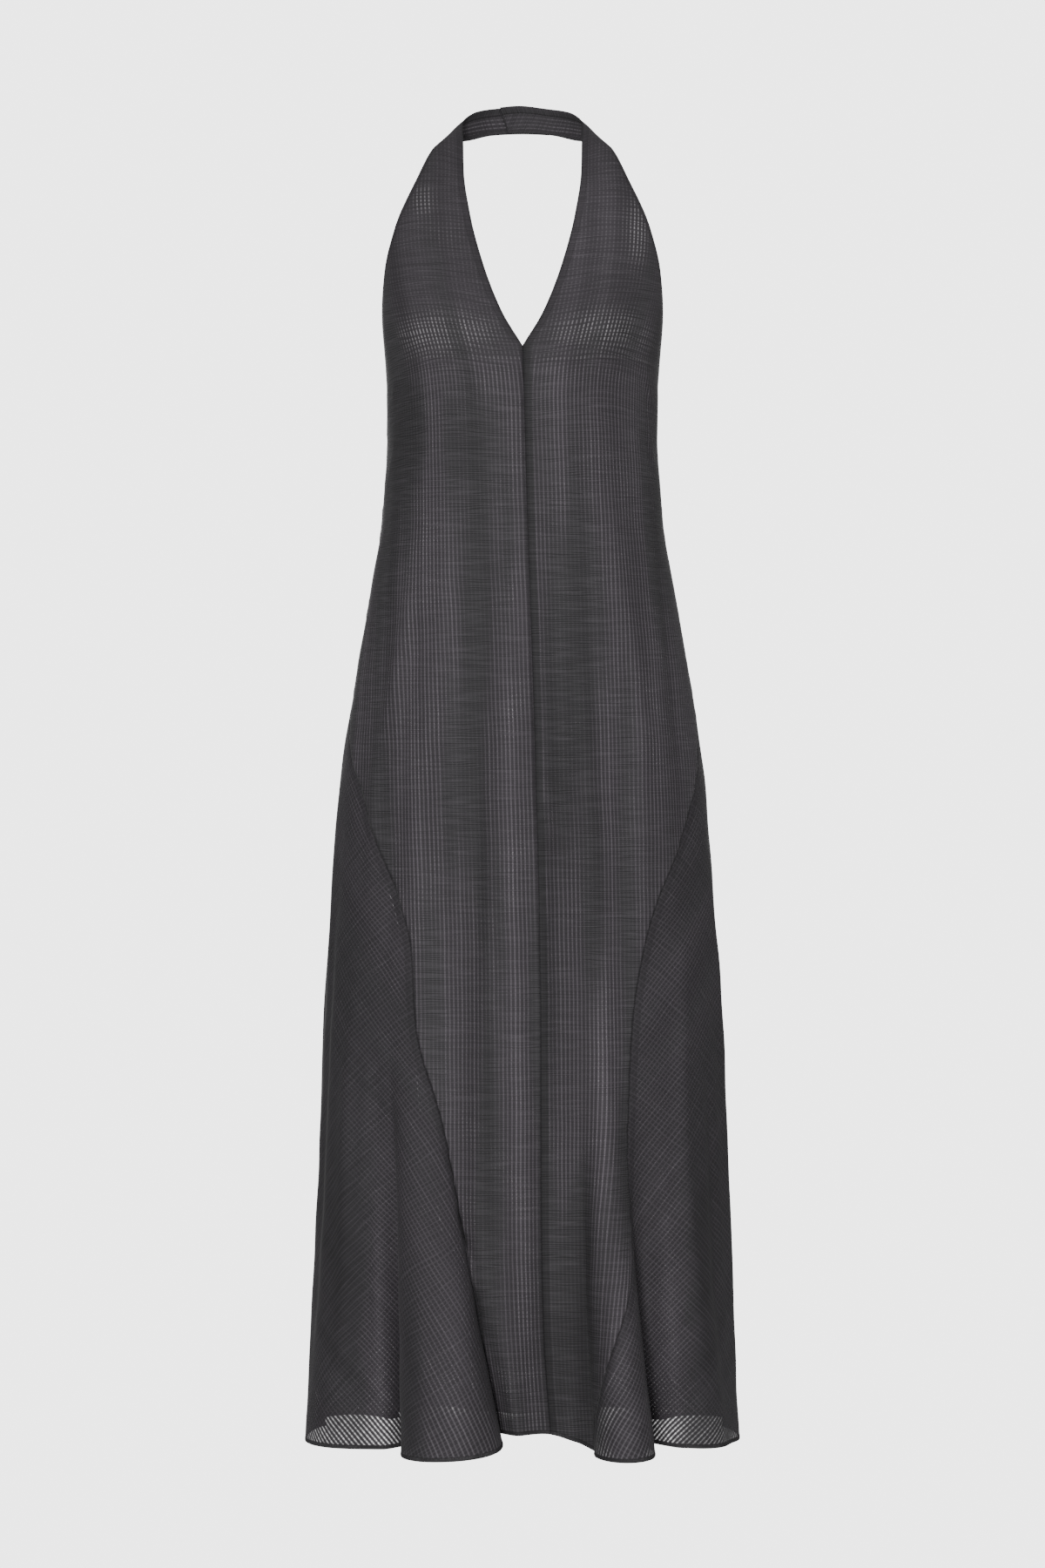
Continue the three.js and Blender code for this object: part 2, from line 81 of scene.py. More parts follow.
@dataclass(frozen=True)
class Table:
    """Rows of numbers that are read smoothly between their rows."""

    names: tuple[str, ...]
    rows: tuple[tuple[float, ...], ...]

    def column(self, name: str) -> np.ndarray:
        """All values of one named column."""
        return np.array([row[self.names.index(name)] for row in self.rows], dtype=float)

    def read(self, name: str, at: np.ndarray) -> np.ndarray:
        """Smooth value of a column where the first column has the given value.

        It is the cubic through both rows of the interval, with the harmonic mean of the neighbouring slopes
        at each row and a level slope where the column turns, so that no value overshoots.

        Args:
            name: column to read.
            at: values of the first column.

        Returns:
            The column's values, in the shape of at.
        """
        key = self.column(self.names[0])
        value = self.column(name)
        slopes = np.diff(value) / np.diff(key)
        before = np.concatenate([slopes[:1], slopes])
        after = np.concatenate([slopes, slopes[-1:]])
        product = before * after
        total = np.where(before + after == 0, 1, before + after)
        knots = np.where(product > 0, 2 * product / total, 0)
        low = np.searchsorted(key[1:-1], at, side="left")
        step = key[low + 1] - key[low]
        t = (at - key[low]) / step
        first, last = knots[low] * step, knots[low + 1] * step
        rise = value[low + 1] - value[low]
        return value[low] + t * (first + t * (3 * rise - 2 * first - last + t * (first + last - 2 * rise)))


GIRTH = Table(
    ("drop", "half_width", "front", "back", "fullness"),
    (
        (240, 143, 121, 99, 0.62),
        (300, 140, 122, 94, 0.62),
        (345, 140, 121, 89, 0.62),
        (427, 145.4, 119, 86, 0.62),
        (517, 160.7, 117, 95, 0.62),
        (607, 176, 116, 107, 0.62),
        (697, 188.6, 116, 116, 0.62),
        (832, 198.9, 116, 124, 0.62),
        (1057, 209.3, 117, 131, 0.64),
        (1368, 223.7, 118, 140, 0.66),
    ),
)

SEAMS = Table(
    ("drop", "centre", "left_front", "right_front", "left_back", "right_back"),
    (
        (257, 0, 1, 1, 1, 1),
        (600, 0.033, 1, 1, 1, 1),
        (650, 0.036, 0.85, 0.89, 1.12, 1.12),
        (702, 0.038, 0.65, 0.75, 1.3, 1.3),
        (755, 0.042, 0.53, 0.605, 1.42, 1.42),
        (807, 0.045, 0.42, 0.475, 1.52, 1.52),
        (860, 0.047, 0.353, 0.398, 1.58, 1.58),
        (940, 0.049, 0.325, 0.336, 1.63, 1.63),
        (1040, 0.048, 0.235, 0.31, 1.69, 1.68),
        (1150, 0.047, 0.155, 0.29, 1.75, 1.73),
        (1260, 0.051, 0.1, 0.235, 1.79, 1.77),
        (1368, 0.066, 0.075, 0.19, 1.83, 1.8),
    ),
)

HEM = Table(
    ("share", "drop"),
    (
        (-2, 1366),
        (-1, 1370),
        (-0.5, 1367),
        (-0.28, 1365),
        (-0.23, 1368.5),
        (-0.17, 1365.5),
        (-0.1, 1356),
        (-0.06, 1351),
        (0.05, 1349),
        (0.13, 1356),
        (0.21, 1369),
        (0.29, 1367),
        (0.36, 1364),
        (0.6, 1367),
        (1, 1370),
        (2, 1366),
    ),
)

# Each flute or hollow: its place at the start and at the hem, half its width, how far it stands out, how much
# its sides swell, and the drop at which it starts
FLUTES = Table(
    ("top", "foot", "spread", "depth", "swell", "start"),
    (
        (-0.36, -0.172, 0.1, 57, 32, 900),
        (-0.44, -0.29, 0.11, -42, 0, 960),
        (-0.2, -0.06, 0.07, -30, 0, 1080),
        (0.06, 0.05, 0.09, -12, 0, 900),
        (0.13, 0.17, 0.07, -6, 0, 980),
        (0.22, 0.263, 0.08, 54, 14, 960),
        (0.36, 0.37, 0.09, -32, 0, 980),
        (-0.7, -0.68, 0.3, 7, 0, 900),
        (0.6, 0.6, 0.22, 12, 0, 900),
        (-1.38, -1.43, 0.15, 34, 12, 860),
        (-1.54, -1.58, 0.1, -20, 0, 930),
        (-1.7, -1.75, 0.12, 42, 17, 930),
        (1.38, 1.4, 0.14, 37, 13, 900),
        (1.56, 1.58, 0.11, -22, 0, 930),
        (1.72, 1.77, 0.12, 36, 14, 1000),
        (2, 2.01, 0.13, -14, 0, 900),
    ),
)

# Long soft ridges and hollows, the same as the solids have
SOFT_FOLDS = Table(
    ("place", "spread", "depth", "start", "full", "end"),
    (
        (-0.4, 0.17, 4, 330, 600, 960),
        (-0.2, 0.14, -3, 380, 620, 980),
        (-0.03, 0.07, 3, 470, 800, 1250),
        (0.12, 0.09, -4, 380, 760, 1300),
        (0.26, 0.1, 3.5, 700, 1000, 1300),
        (0.5, 0.15, 3.5, 400, 690, 900),
        (-1.6, 0.16, 4, 380, 640, 1000),
        (1.97, 0.15, -4, 330, 560, 900),
        (1.66, 0.18, 4.5, 350, 700, 980),
    ),
)

STRAP = Table(
    ("run", "neck_x", "neck_y", "neck_z", "arm_x", "arm_y", "arm_z", "lean_x", "lean_y", "lean_z"),
    (
        (0, 0, -121.2, -257, 142, 0, -266, 142, -121.5, -262),
        (42, 21, -112, -221, 144, -30, -218, 142, -114, -222),
        (92, 40, -92, -170, 141, -50, -175, 130, -99, -177),
        (147, 53, -66, -118, 130, -55, -129, 110, -82, -127),
        (202, 60, -38, -69, 109, -42, -79, 90, -57, -74),
        (250, 61, -10, -33, 89.5, -12, -39, 79, -19, -28),
        (286, 62, 18, -11, 76.5, 17, -30, 76, 16, -14.5),
        (318, 51, 42, 4.5, 57, 45, -24, 56, 45, -9),
        (350, 27, 57.5, 11.4, 29, 62, -15.3, 28.5, 61, -2),
        (379, 0, 62, 14.4, 0, 66, -13.2, 0, 65, 0.5),
        (408, -27, 57.5, 11.4, -29, 62, -15.3, -28.5, 61, -2),
        (440, -51, 42, 4.5, -57, 45, -24, -56, 45, -9),
    ),
)

# Creases placed on the body: ends as share and drop, half the width and the depth. A negative depth
# is a trough.
CREASES = Table(
    ("share_a", "drop_a", "share_b", "drop_b", "width", "depth"),
    (
        # drag lines under the right arm and their fainter twins under the left
        (0.64, 262, 0.79, 314, 3.2, 0.8),
        (0.6, 270, 0.74, 320, 4.2, -0.6),
        (0.72, 334, 0.83, 378, 3.6, 0.6),
        (0.68, 338, 0.78, 384, 4.5, -0.5),
        (-0.66, 264, -0.8, 308, 4.2, 0.5),
        (-0.61, 272, -0.74, 314, 5, -0.4),
        (-0.74, 342, -0.82, 384, 4.6, 0.4),
        # soft bows above and below the bust
        (-0.56, 268, -0.3, 262, 9, 1.2),
        (0.3, 262, 0.58, 268, 9, 1.2),
        # long upright folds of the front
        (-0.5, 470, -0.56, 820, 10, 2.0),
        (-0.4, 520, -0.46, 900, 9, -1.7),
        (-0.3, 420, -0.32, 860, 9, 1.9),
        (-0.14, 560, -0.16, 1080, 9, -1.5),
        (-0.1, 690, -0.1, 1310, 8, 1.8),
        (0.0, 820, 0.0, 1330, 8, 1.5),
        (0.1, 480, 0.11, 1180, 8, -1.8),
        (0.2, 420, 0.19, 900, 9, 1.5),
        (0.33, 600, 0.28, 1050, 9, -1.6),
        (0.42, 400, 0.42, 760, 10, 1.8),
        (0.7, 420, 0.66, 700, 11, -1.4),
        (0.24, 900, 0.2, 1270, 7, 1.5),
        # short puckers beside the left godet's seam
        (-0.165, 1150, -0.115, 1215, 4, 1.5),
        (-0.15, 1185, -0.098, 1250, 4, -1.3),
        (-0.19, 1120, -0.14, 1180, 4, -1.0),
        # godets
        (-0.62, 900, -0.6, 1340, 13, 2.4),
        (-0.5, 960, -0.45, 1330, 9, -2.2),
        (-0.84, 760, -0.86, 1300, 14, -2.0),
        (0.56, 860, 0.54, 1330, 12, 2.4),
        (0.7, 940, 0.72, 1340, 12, -2.2),
        (0.88, 800, 0.9, 1320, 13, 2.0),
        (-1.1, 800, -1.12, 1320, 13, 2.2),
        (1.14, 860, 1.16, 1340, 12, -2.0),
        (-1.26, 940, -1.3, 1330, 10, -1.8),
        (1.28, 900, 1.3, 1330, 10, 2.0),
        # back
        (-1.2, 300, -1.3, 520, 10, 1.6),
        (1.18, 290, 1.28, 500, 10, 1.7),
        (-1.36, 280, -1.5, 380, 7, -1.4),
        (1.34, 276, 1.5, 390, 7, -1.5),
        (-1.8, 420, -1.78, 860, 11, 2.0),
        (-1.68, 520, -1.7, 980, 10, -1.9),
        (1.84, 480, 1.8, 900, 11, 1.8),
        (1.72, 600, 1.74, 1040, 9, -1.7),
        (1.93, 760, 1.94, 1240, 9, 1.6),
        (-1.92, 860, -1.94, 1300, 9, -1.6),
        (-1.5, 560, -1.5, 900, 11, 1.6),
        (1.52, 600, 1.54, 860, 11, -1.4),
    ),
)

# Where the front's weave opens or closes and where light and shade are painted on it, by its place from the
# middle and its drop: the size of each spot, how much more it shows through, and how much lighter it is
# painted, a negative number being painted shade
SPOTS = Table(
    ("x", "drop", "spread_x", "spread_drop", "open", "painted_tone"),
    (
        # the single layer across the bust
        (-84, 242, 52, 25, 0.22, -0.06),
        (86, 240, 52, 25, 0.21, -0.06),
        (-36, 246, 16, 14, 0.06, -0.04),
        (36, 246, 16, 14, 0.06, -0.04),
        # outer parts of both straps
        (-101, 102, 14, 22, 0.18, 0.0),
        (-82, 140, 34, 14, 0.08, -0.03),
        (117, 134, 12, 42, 0.19, 0.03),
        (-88, 176, 40, 34, 0.0, -0.06),
        (-95, 60, 30, 50, 0.0, -0.06),
        (90, 190, 40, 24, 0.0, -0.02),
        (80, 130, 38, 80, 0.05, 0.34),
        (-43, 13, 16, 6, 0.12, 0.03),
        (50, 13, 14, 6, 0.1, 0.02),
        # beside the centre seam
        (-2, 535, 10, 50, 1.0, 0.12),
        (-20, 620, 14, 120, 0.3, 0.06),
        (-19, 1250, 13, 140, 1.2, 0.14),
        (-34, 1100, 26, 160, 0.0, -0.08),
        (50, 1262, 30, 140, -0.5, -0.36),
        (-46, 1240, 10, 120, -0.2, -0.16),
        (84, 1270, 9, 100, 0.3, 0.08),
        (-10, 1352, 32, 16, -1.2, 0.0),
        (-31, 1346, 14, 22, -1.2, 0.0),
        (104, 1346, 34, 34, -1.3, 0.0),
        # long soft bands of light and shade
        (-99, 545, 19, 160, 0.2, 0.16),
        (-6, 830, 9, 320, 0.3, 0.2),
        (81, 990, 10, 120, 0.3, 0.22),
        (133, 607, 11, 95, 0.2, 0.18),
        (-134, 470, 12, 150, 0.0, -0.1),
        (-120, 330, 18, 60, 0.0, -0.12),
        (138, 420, 14, 130, 0.0, -0.1),
        (60, 420, 20, 130, 0.0, 0.04),
        (-70, 350, 60, 70, 0.0, -0.12),
        (-30, 500, 40, 100, 0.0, -0.05),
        (-45, 700, 15, 240, 0.0, -0.12),
        (33, 800, 13, 280, 0.0, -0.1),
        (-110, 840, 12, 130, 0.0, -0.1),
        (105, 760, 13, 150, 0.0, -0.1),
        (-70, 930, 11, 160, 0.0, 0.1),
        # the left godet: layers behind the big flute, the clear strip beside it, and its side in painted
        # shade
        (-112, 1290, 13, 110, -0.45, -0.16),
        (-68, 1346, 56, 34, -1.4, -0.04),
        (-175, 900, 34, 240, 0.0, -0.1),
        (-64, 1240, 20, 130, 0.4, 0.3),
        (98, 1280, 12, 90, 0.3, 0.26),
        (195, 1346, 40, 34, -0.5, 0.0),
        (-140, 1285, 14, 125, 0.9, 0.6),
        (-62, 1270, 20, 130, 0.0, 0.12),
        (-176, 1190, 22, 120, -0.5, -0.2),
        (-205, 1100, 20, 200, -0.3, -0.1),
        # the right godet
        (146, 1275, 13, 125, 0.9, 0.55),
        (182, 1190, 22, 120, -0.5, -0.2),
        (208, 1100, 20, 200, -0.3, -0.08),
    ),
)


def mix(low: np.ndarray, high: np.ndarray, share: np.ndarray) -> np.ndarray:
    """Straight-line value between low and high."""
    return low + (high - low) * share


def ease(low: float, high: float, value: np.ndarray) -> np.ndarray:
    """Smooth step from 0 at low to 1 at high."""
    t = np.clip((value - low) / (high - low), 0, 1)
    return t * t * (3 - 2 * t)


def unit(vectors: np.ndarray) -> np.ndarray:
    """Vectors scaled to a length of 1 along the last axis."""
    return vectors / np.maximum(np.linalg.norm(vectors, axis=-1, keepdims=True), TINY)


def wrap(share: np.ndarray) -> np.ndarray:
    """Share brought into the range from -2 to 2, with the centre back at either end."""
    return np.mod(share + 2, 4) - 2


def leaning_curve(start: np.ndarray, end: np.ndarray, corner: np.ndarray, fullness: np.ndarray,
                  t: np.ndarray) -> np.ndarray:
    """Point of the cubic curve from start to end whose two handles reach a share of the way to a corner.

    Args:
        start: the curve's first point.
        end: its last point.
        corner: where both handles point.
        fullness: how much of the way to the corner the handles reach.
        t: way along the curve, from 0 to 1.

    Returns:
        The curve's point.
    """
    t, fullness = t[..., None], np.asarray(fullness)[..., None]
    first, second = mix(start, corner, fullness), mix(end, corner, fullness)
    s = 1 - t
    return s**3 * start + 3 * s * s * t * first + 3 * s * t * t * second + t**3 * end


def surface_normals(points: np.ndarray) -> np.ndarray:
    """Outward unit normals of a grid whose columns run to the right and whose rows run up.

    The normal is the cross product of the central differences along the row and up the column.
    """
    return unit(np.cross(np.gradient(points, axis=1), np.gradient(points, axis=0)))


def running_length(points: np.ndarray, axis: int) -> np.ndarray:
    """Distance along a grid or a path from its first column or row, in its own units.

    Args:
        points: grid or path of points.
        axis: 0 to go up a grid or along a path, 1 to go along a grid's rows.

    Returns:
        The distance at each point.
    """
    steps = np.linalg.norm(np.diff(points, axis=axis), axis=-1)
    start = np.zeros_like(np.take(steps, [0], axis=axis))
    return np.concatenate([start, np.cumsum(steps, axis=axis)], axis=axis)


@dataclass(frozen=True)
class DressForm:
    """The worn form of the dress, as points of its outer face in millimetres."""

    v_drop: float = 257
    underarm_drop: float = 266
    back_top_drop: float = 247
    back_top_share: float = 1.6
    godet_top_drop: float = 600
    hem_drop: float = 1368
    flute_growth: float = 1.3
    strap_fullness: float = 0.62
    nape_run: float = 379
    lap_start_run: float = 312
    lap_full_run: float = 350
    lap_lift: float = 3.2
    lap_rise: float = 1.4
    right_end: tuple[float, float] = (404, 393)
    left_end: tuple[float, float] = (406, 406)
    nudge: float = 0.001
    normal_step: float = 0.002
    quarter_girth: float = 1.27
    top_girth_drop: float = 240
    crease_strength: float = 2.0
    crease_bend: float = 0.35
    crease_waves: float = 7
    crease_shift: float = 31
    crease_start: tuple[float, float] = (-0.12, 0.3)
    crease_end: tuple[float, float] = (0.62, 1.15)

    def girth_point(self, share: np.ndarray, drop: np.ndarray) -> np.ndarray:
        """Point of the girth without folds: a curve from the middle to the side, leaning to their corner.

        Args:
            share: how far round the body.
            drop: way down from the band.

        Returns:
            The points.
        """
        around = wrap(share)
        turn = np.abs(around)
        half_width = np.where(around < 0, -1, 1) * GIRTH.read("half_width", drop)
        at_front = turn <= 1
        depth = np.where(at_front, -GIRTH.read("front", drop), GIRTH.read("back", drop))
        zero = np.zeros_like(drop)
        middle = np.stack([zero, depth, -drop], axis=-1)
        side = np.stack([half_width, zero, -drop], axis=-1)
        corner = np.stack([half_width, depth, -drop], axis=-1)
        return leaning_curve(middle, side, corner, GIRTH.read("fullness", drop),
                             np.where(at_front, turn, 2 - turn))

    def body_point(self, share: np.ndarray, drop: np.ndarray) -> np.ndarray:
        """Point of the body: the girth, pushed outward by every flute and fold that reaches it.

        A flute's section is a raised cosine over its spread and grows with a power of the way down to the
        hem. Its swell moves the cloth sideways by a sine, away from the flute's middle.

        Args:
            share: how far round the body.
            drop: way down from the band.

        Returns:
            The points.
        """
        share, drop = np.broadcast_arrays(np.asarray(share, float), np.asarray(drop, float))
        point = self.girth_point(share, drop)
        along = unit(self.girth_point(share + self.nudge, drop) - self.girth_point(share - self.nudge, drop))
        outward = np.stack([along[..., 1], -along[..., 0], np.zeros_like(drop)], axis=-1)
        for top, foot, spread, depth, swell, start in FLUTES.rows:
            growth = np.maximum((drop - start) / (self.hem_drop - start), 0)
            offset = wrap(share - mix(top, foot, growth)) / spread
            strength = np.where(np.abs(offset) < 1, growth**self.flute_growth, 0)
            section = (1 + np.cos(np.pi * offset)) / 2
            point = point + outward * (depth * strength * section)[..., None]
            point = point + along * (swell * strength * np.sin(np.pi * offset))[..., None]
        for place, spread, depth, start, full, end in SOFT_FOLDS.rows:
            offset = wrap(share - place) / spread
            section = np.where(np.abs(offset) < 1, (1 + np.cos(np.pi * offset)) / 2, 0)
            strength = ease(start, full, drop) * (1 - ease(full, end, drop))
            point = point + outward * (depth * strength * section)[..., None]
        return point

    def body_normal(self, share: np.ndarray, drop: np.ndarray) -> np.ndarray:
        """Outward normal of the body from central differences, the same for both panels of a seam."""
        step = self.normal_step
        along = self.body_point(share + step, drop) - self.body_point(share - step, drop)
        up = self.body_point(share, drop - 1) - self.body_point(share, drop + 1)
        return unit(np.cross(along, up))

    def top_drop(self, share: np.ndarray) -> np.ndarray:
        """Drop of the body's top edge: the V and underarm in front, the straight edge behind."""
        turn = np.abs(wrap(share))
        behind = mix(self.underarm_drop, self.back_top_drop, ease(1, self.back_top_share, turn))
        return np.where(turn <= 1, mix(self.v_drop, self.underarm_drop, turn), behind)

    def drop_at(self, share: np.ndarray, level: np.ndarray) -> np.ndarray:
        """Drop at a level: 0 is the hem, 1 the top of the godets, 2 the top edge."""
        hem = HEM.read("drop", wrap(share))
        skirt = mix(hem, self.godet_top_drop, level)
        return np.where(level <= 1, skirt, mix(self.godet_top_drop, self.top_drop(share), level - 1))

    def seam_share(self, name: str, level: np.ndarray) -> np.ndarray:
        """Share at which a seam lies at a level."""
        skirt = mix(self.hem_drop, self.godet_top_drop, level)
        return SEAMS.read(name, np.where(level <= 1, skirt, mix(self.godet_top_drop, self.v_drop, level - 1)))

    def strap_point(self, side: Side, across: np.ndarray, run: np.ndarray) -> np.ndarray:
        """Point of a strap: across runs from the neck edge to the arm edge along a leaning curve.

        Args:
            side: the strap's side.
            across: place from the neck edge, 0, to the arm edge, 1.
            run: way from the V along the strap.

        Returns:
            The points.
        """
        across, run = np.broadcast_arrays(np.asarray(across, float), np.asarray(run, float))
        ends = [
            np.stack([side.value * STRAP.read(f"{edge}_x", run), STRAP.read(f"{edge}_y", run),
                      STRAP.read(f"{edge}_z", run)], axis=-1)
            for edge in ("neck", "arm", "lean")
        ]
        point = leaning_curve(ends[0], ends[1], ends[2], np.full_like(run, self.strap_fullness), across)
        rise = self.lap_rise * ease(self.lap_full_run, self.right_end[1], run)
        point[..., 2] += side.value * rise * (1 - across)
        return point

    def strap_normal(self, side: Side, across: np.ndarray, run: np.ndarray) -> np.ndarray:
        """Outward normal of a strap from central differences across it and along it.

        Args:
            side: the strap's side.
            across: place from the neck edge, 0, to the arm edge, 1.
            run: way from the V along the strap.

        Returns:
            The unit normals.
        """
        across, run = np.broadcast_arrays(np.asarray(across, float), np.asarray(run, float))
        step = self.nudge
        over = self.strap_point(side, across + step, run) - self.strap_point(side, across - step, run)
        along = self.strap_point(side, across, run + step) - self.strap_point(side, across, run - step)
        return unit(side.value * np.cross(over, along))

    def lap(self, side: Side, run: np.ndarray) -> np.ndarray:
        """How far a strap is lifted outward to lie over the other one at the nape."""
        lifted = self.lap_lift if side is Side.LEFT else 0.0
        return lifted * ease(self.lap_start_run, self.lap_full_run, run)

    def origin(self) -> np.ndarray:
        """The nape hold: the inner face of the right strap at the middle of the band."""
        run = np.array([self.nape_run])
        middle = np.array([0.5])
        point = self.strap_point(Side.RIGHT, middle, run)
        return (point - CAD_WALL * self.strap_normal(Side.RIGHT, middle, run))[0]

    @staticmethod
    def unevenness(share: np.ndarray, drop: np.ndarray) -> np.ndarray:
        """Faint unevenness of the whole cloth: slanting sine waves of share and drop, two of them crossed."""
        crossed = 0.45 * np.sin(drop / 47 + 9 * share) * np.sin(drop / 23 - 13 * share)
        return crossed + (0.35 * np.sin(drop / 71 - 21 * share + 1.7) + 0.2 * np.sin(drop / 13 + 17 * share))

    def creases(self, share: np.ndarray, drop: np.ndarray) -> np.ndarray:
        """Height of the listed creases, on the cloth's faint unevenness.

        A crease's section is a bell curve of the distance from its line, which a slow wave bends a little,
        and it dies away towards both ends.

        Args:
            share: how far round the body.
            drop: way down from the band.

        Returns:
            Heights off the uncreased body.
        """
        girth_drop = np.clip(drop, self.top_girth_drop, self.hem_drop)
        quarter = self.quarter_girth * GIRTH.read("half_width", girth_drop)
        height = self.unevenness(share, drop)
        for share_a, drop_a, share_b, drop_b, width, depth in CREASES.rows:
            across = wrap(share - share_a) * quarter
            reach = wrap(np.array(share_b - share_a)) * quarter
            length = np.hypot(reach, drop_b - drop_a)
            part = (across * reach + (drop - drop_a) * (drop_b - drop_a)) / length**2
            aside = (across * (drop_b - drop_a) - (drop - drop_a) * reach) / length
            wave = np.sin(self.crease_waves * part + self.crease_shift * share_a)
            aside = aside + self.crease_bend * width * wave
            fade = ease(*self.crease_start, part) * (1 - ease(*self.crease_end, part))
            height = height + self.crease_strength * depth * fade * np.exp(-((aside / width) ** 2))
        return height


@dataclass
class Cloth:
    """A grid of cloth: its outer points in millimetres, and the maps that its finish reads.

    weave holds the cut's own coordinates. edges holds the way to a finished edge and to the hem. seams holds
    the way to a seam, and how much the lines are closed where one layer lies alone, from 0 to FAR. look holds
    how open the cloth is, and its painted light and shade.
    """

    points: np.ndarray
    weave: np.ndarray
    edges: np.ndarray
    seams: np.ndarray
    look: np.ndarray

    @classmethod
    def plain(cls, points: np.ndarray, weave: np.ndarray) -> "Cloth":
        """Cloth that lies far from any edge or seam and is hardly open."""
        far = np.full(points.shape[:2] + (2,), FAR)
        return cls(points, weave, far, far, np.broadcast_to(np.array([0.1, 1.0]), far.shape))

    @property
    def normals(self) -> np.ndarray:
        """Outward normals of the grid."""
        return surface_normals(self.points)

    @property
    def maps(self) -> dict[str, np.ndarray]:
        """The UV maps of the grid's points, with their lengths in metres."""
        lengths = {"weave": self.weave, "edges": self.edges, "seams": self.seams}
        maps = {name: grid.reshape(-1, 2) * MM for name, grid in lengths.items()}
        return {**maps, "look": self.look.reshape(-1, 2)}

    def area(self) -> float:
        """Area of the grid in square metres: half the cross product of each quad's diagonals, summed."""
        p = self.points * MM
        first = p[1:, 1:] - p[:-1, :-1]
        second = p[1:, :-1] - p[:-1, 1:]
        return float(np.linalg.norm(np.cross(first, second), axis=-1).sum() / 2)

    def rail(self, distance: float, from_start: bool, rows: slice) -> tuple[np.ndarray, np.ndarray]:
        """Line at a distance from one long side, read row by row along the cloth.

        Args:
            distance: way in from the side, in millimetres.
            from_start: whether the side is the first column.
            rows: rows that the line takes.

        Returns:
            Points and normals of the line.
        """
        points, normals = self.points[rows], self.normals[rows]
        if not from_start:
            points, normals = points[:, ::-1], normals[:, ::-1]
        lengths = running_length(points, 1)
        low = np.clip((lengths <= distance).sum(axis=1) - 1, 0, lengths.shape[1] - 2)
        pick = np.arange(len(low))
        span = np.maximum(lengths[pick, low + 1] - lengths[pick, low], TINY)
        t = np.clip((distance - lengths[pick, low]) / span, 0, 1)[:, None]
        return (mix(points[pick, low], points[pick, low + 1], t),
                unit(mix(normals[pick, low], normals[pick, low + 1], t)))


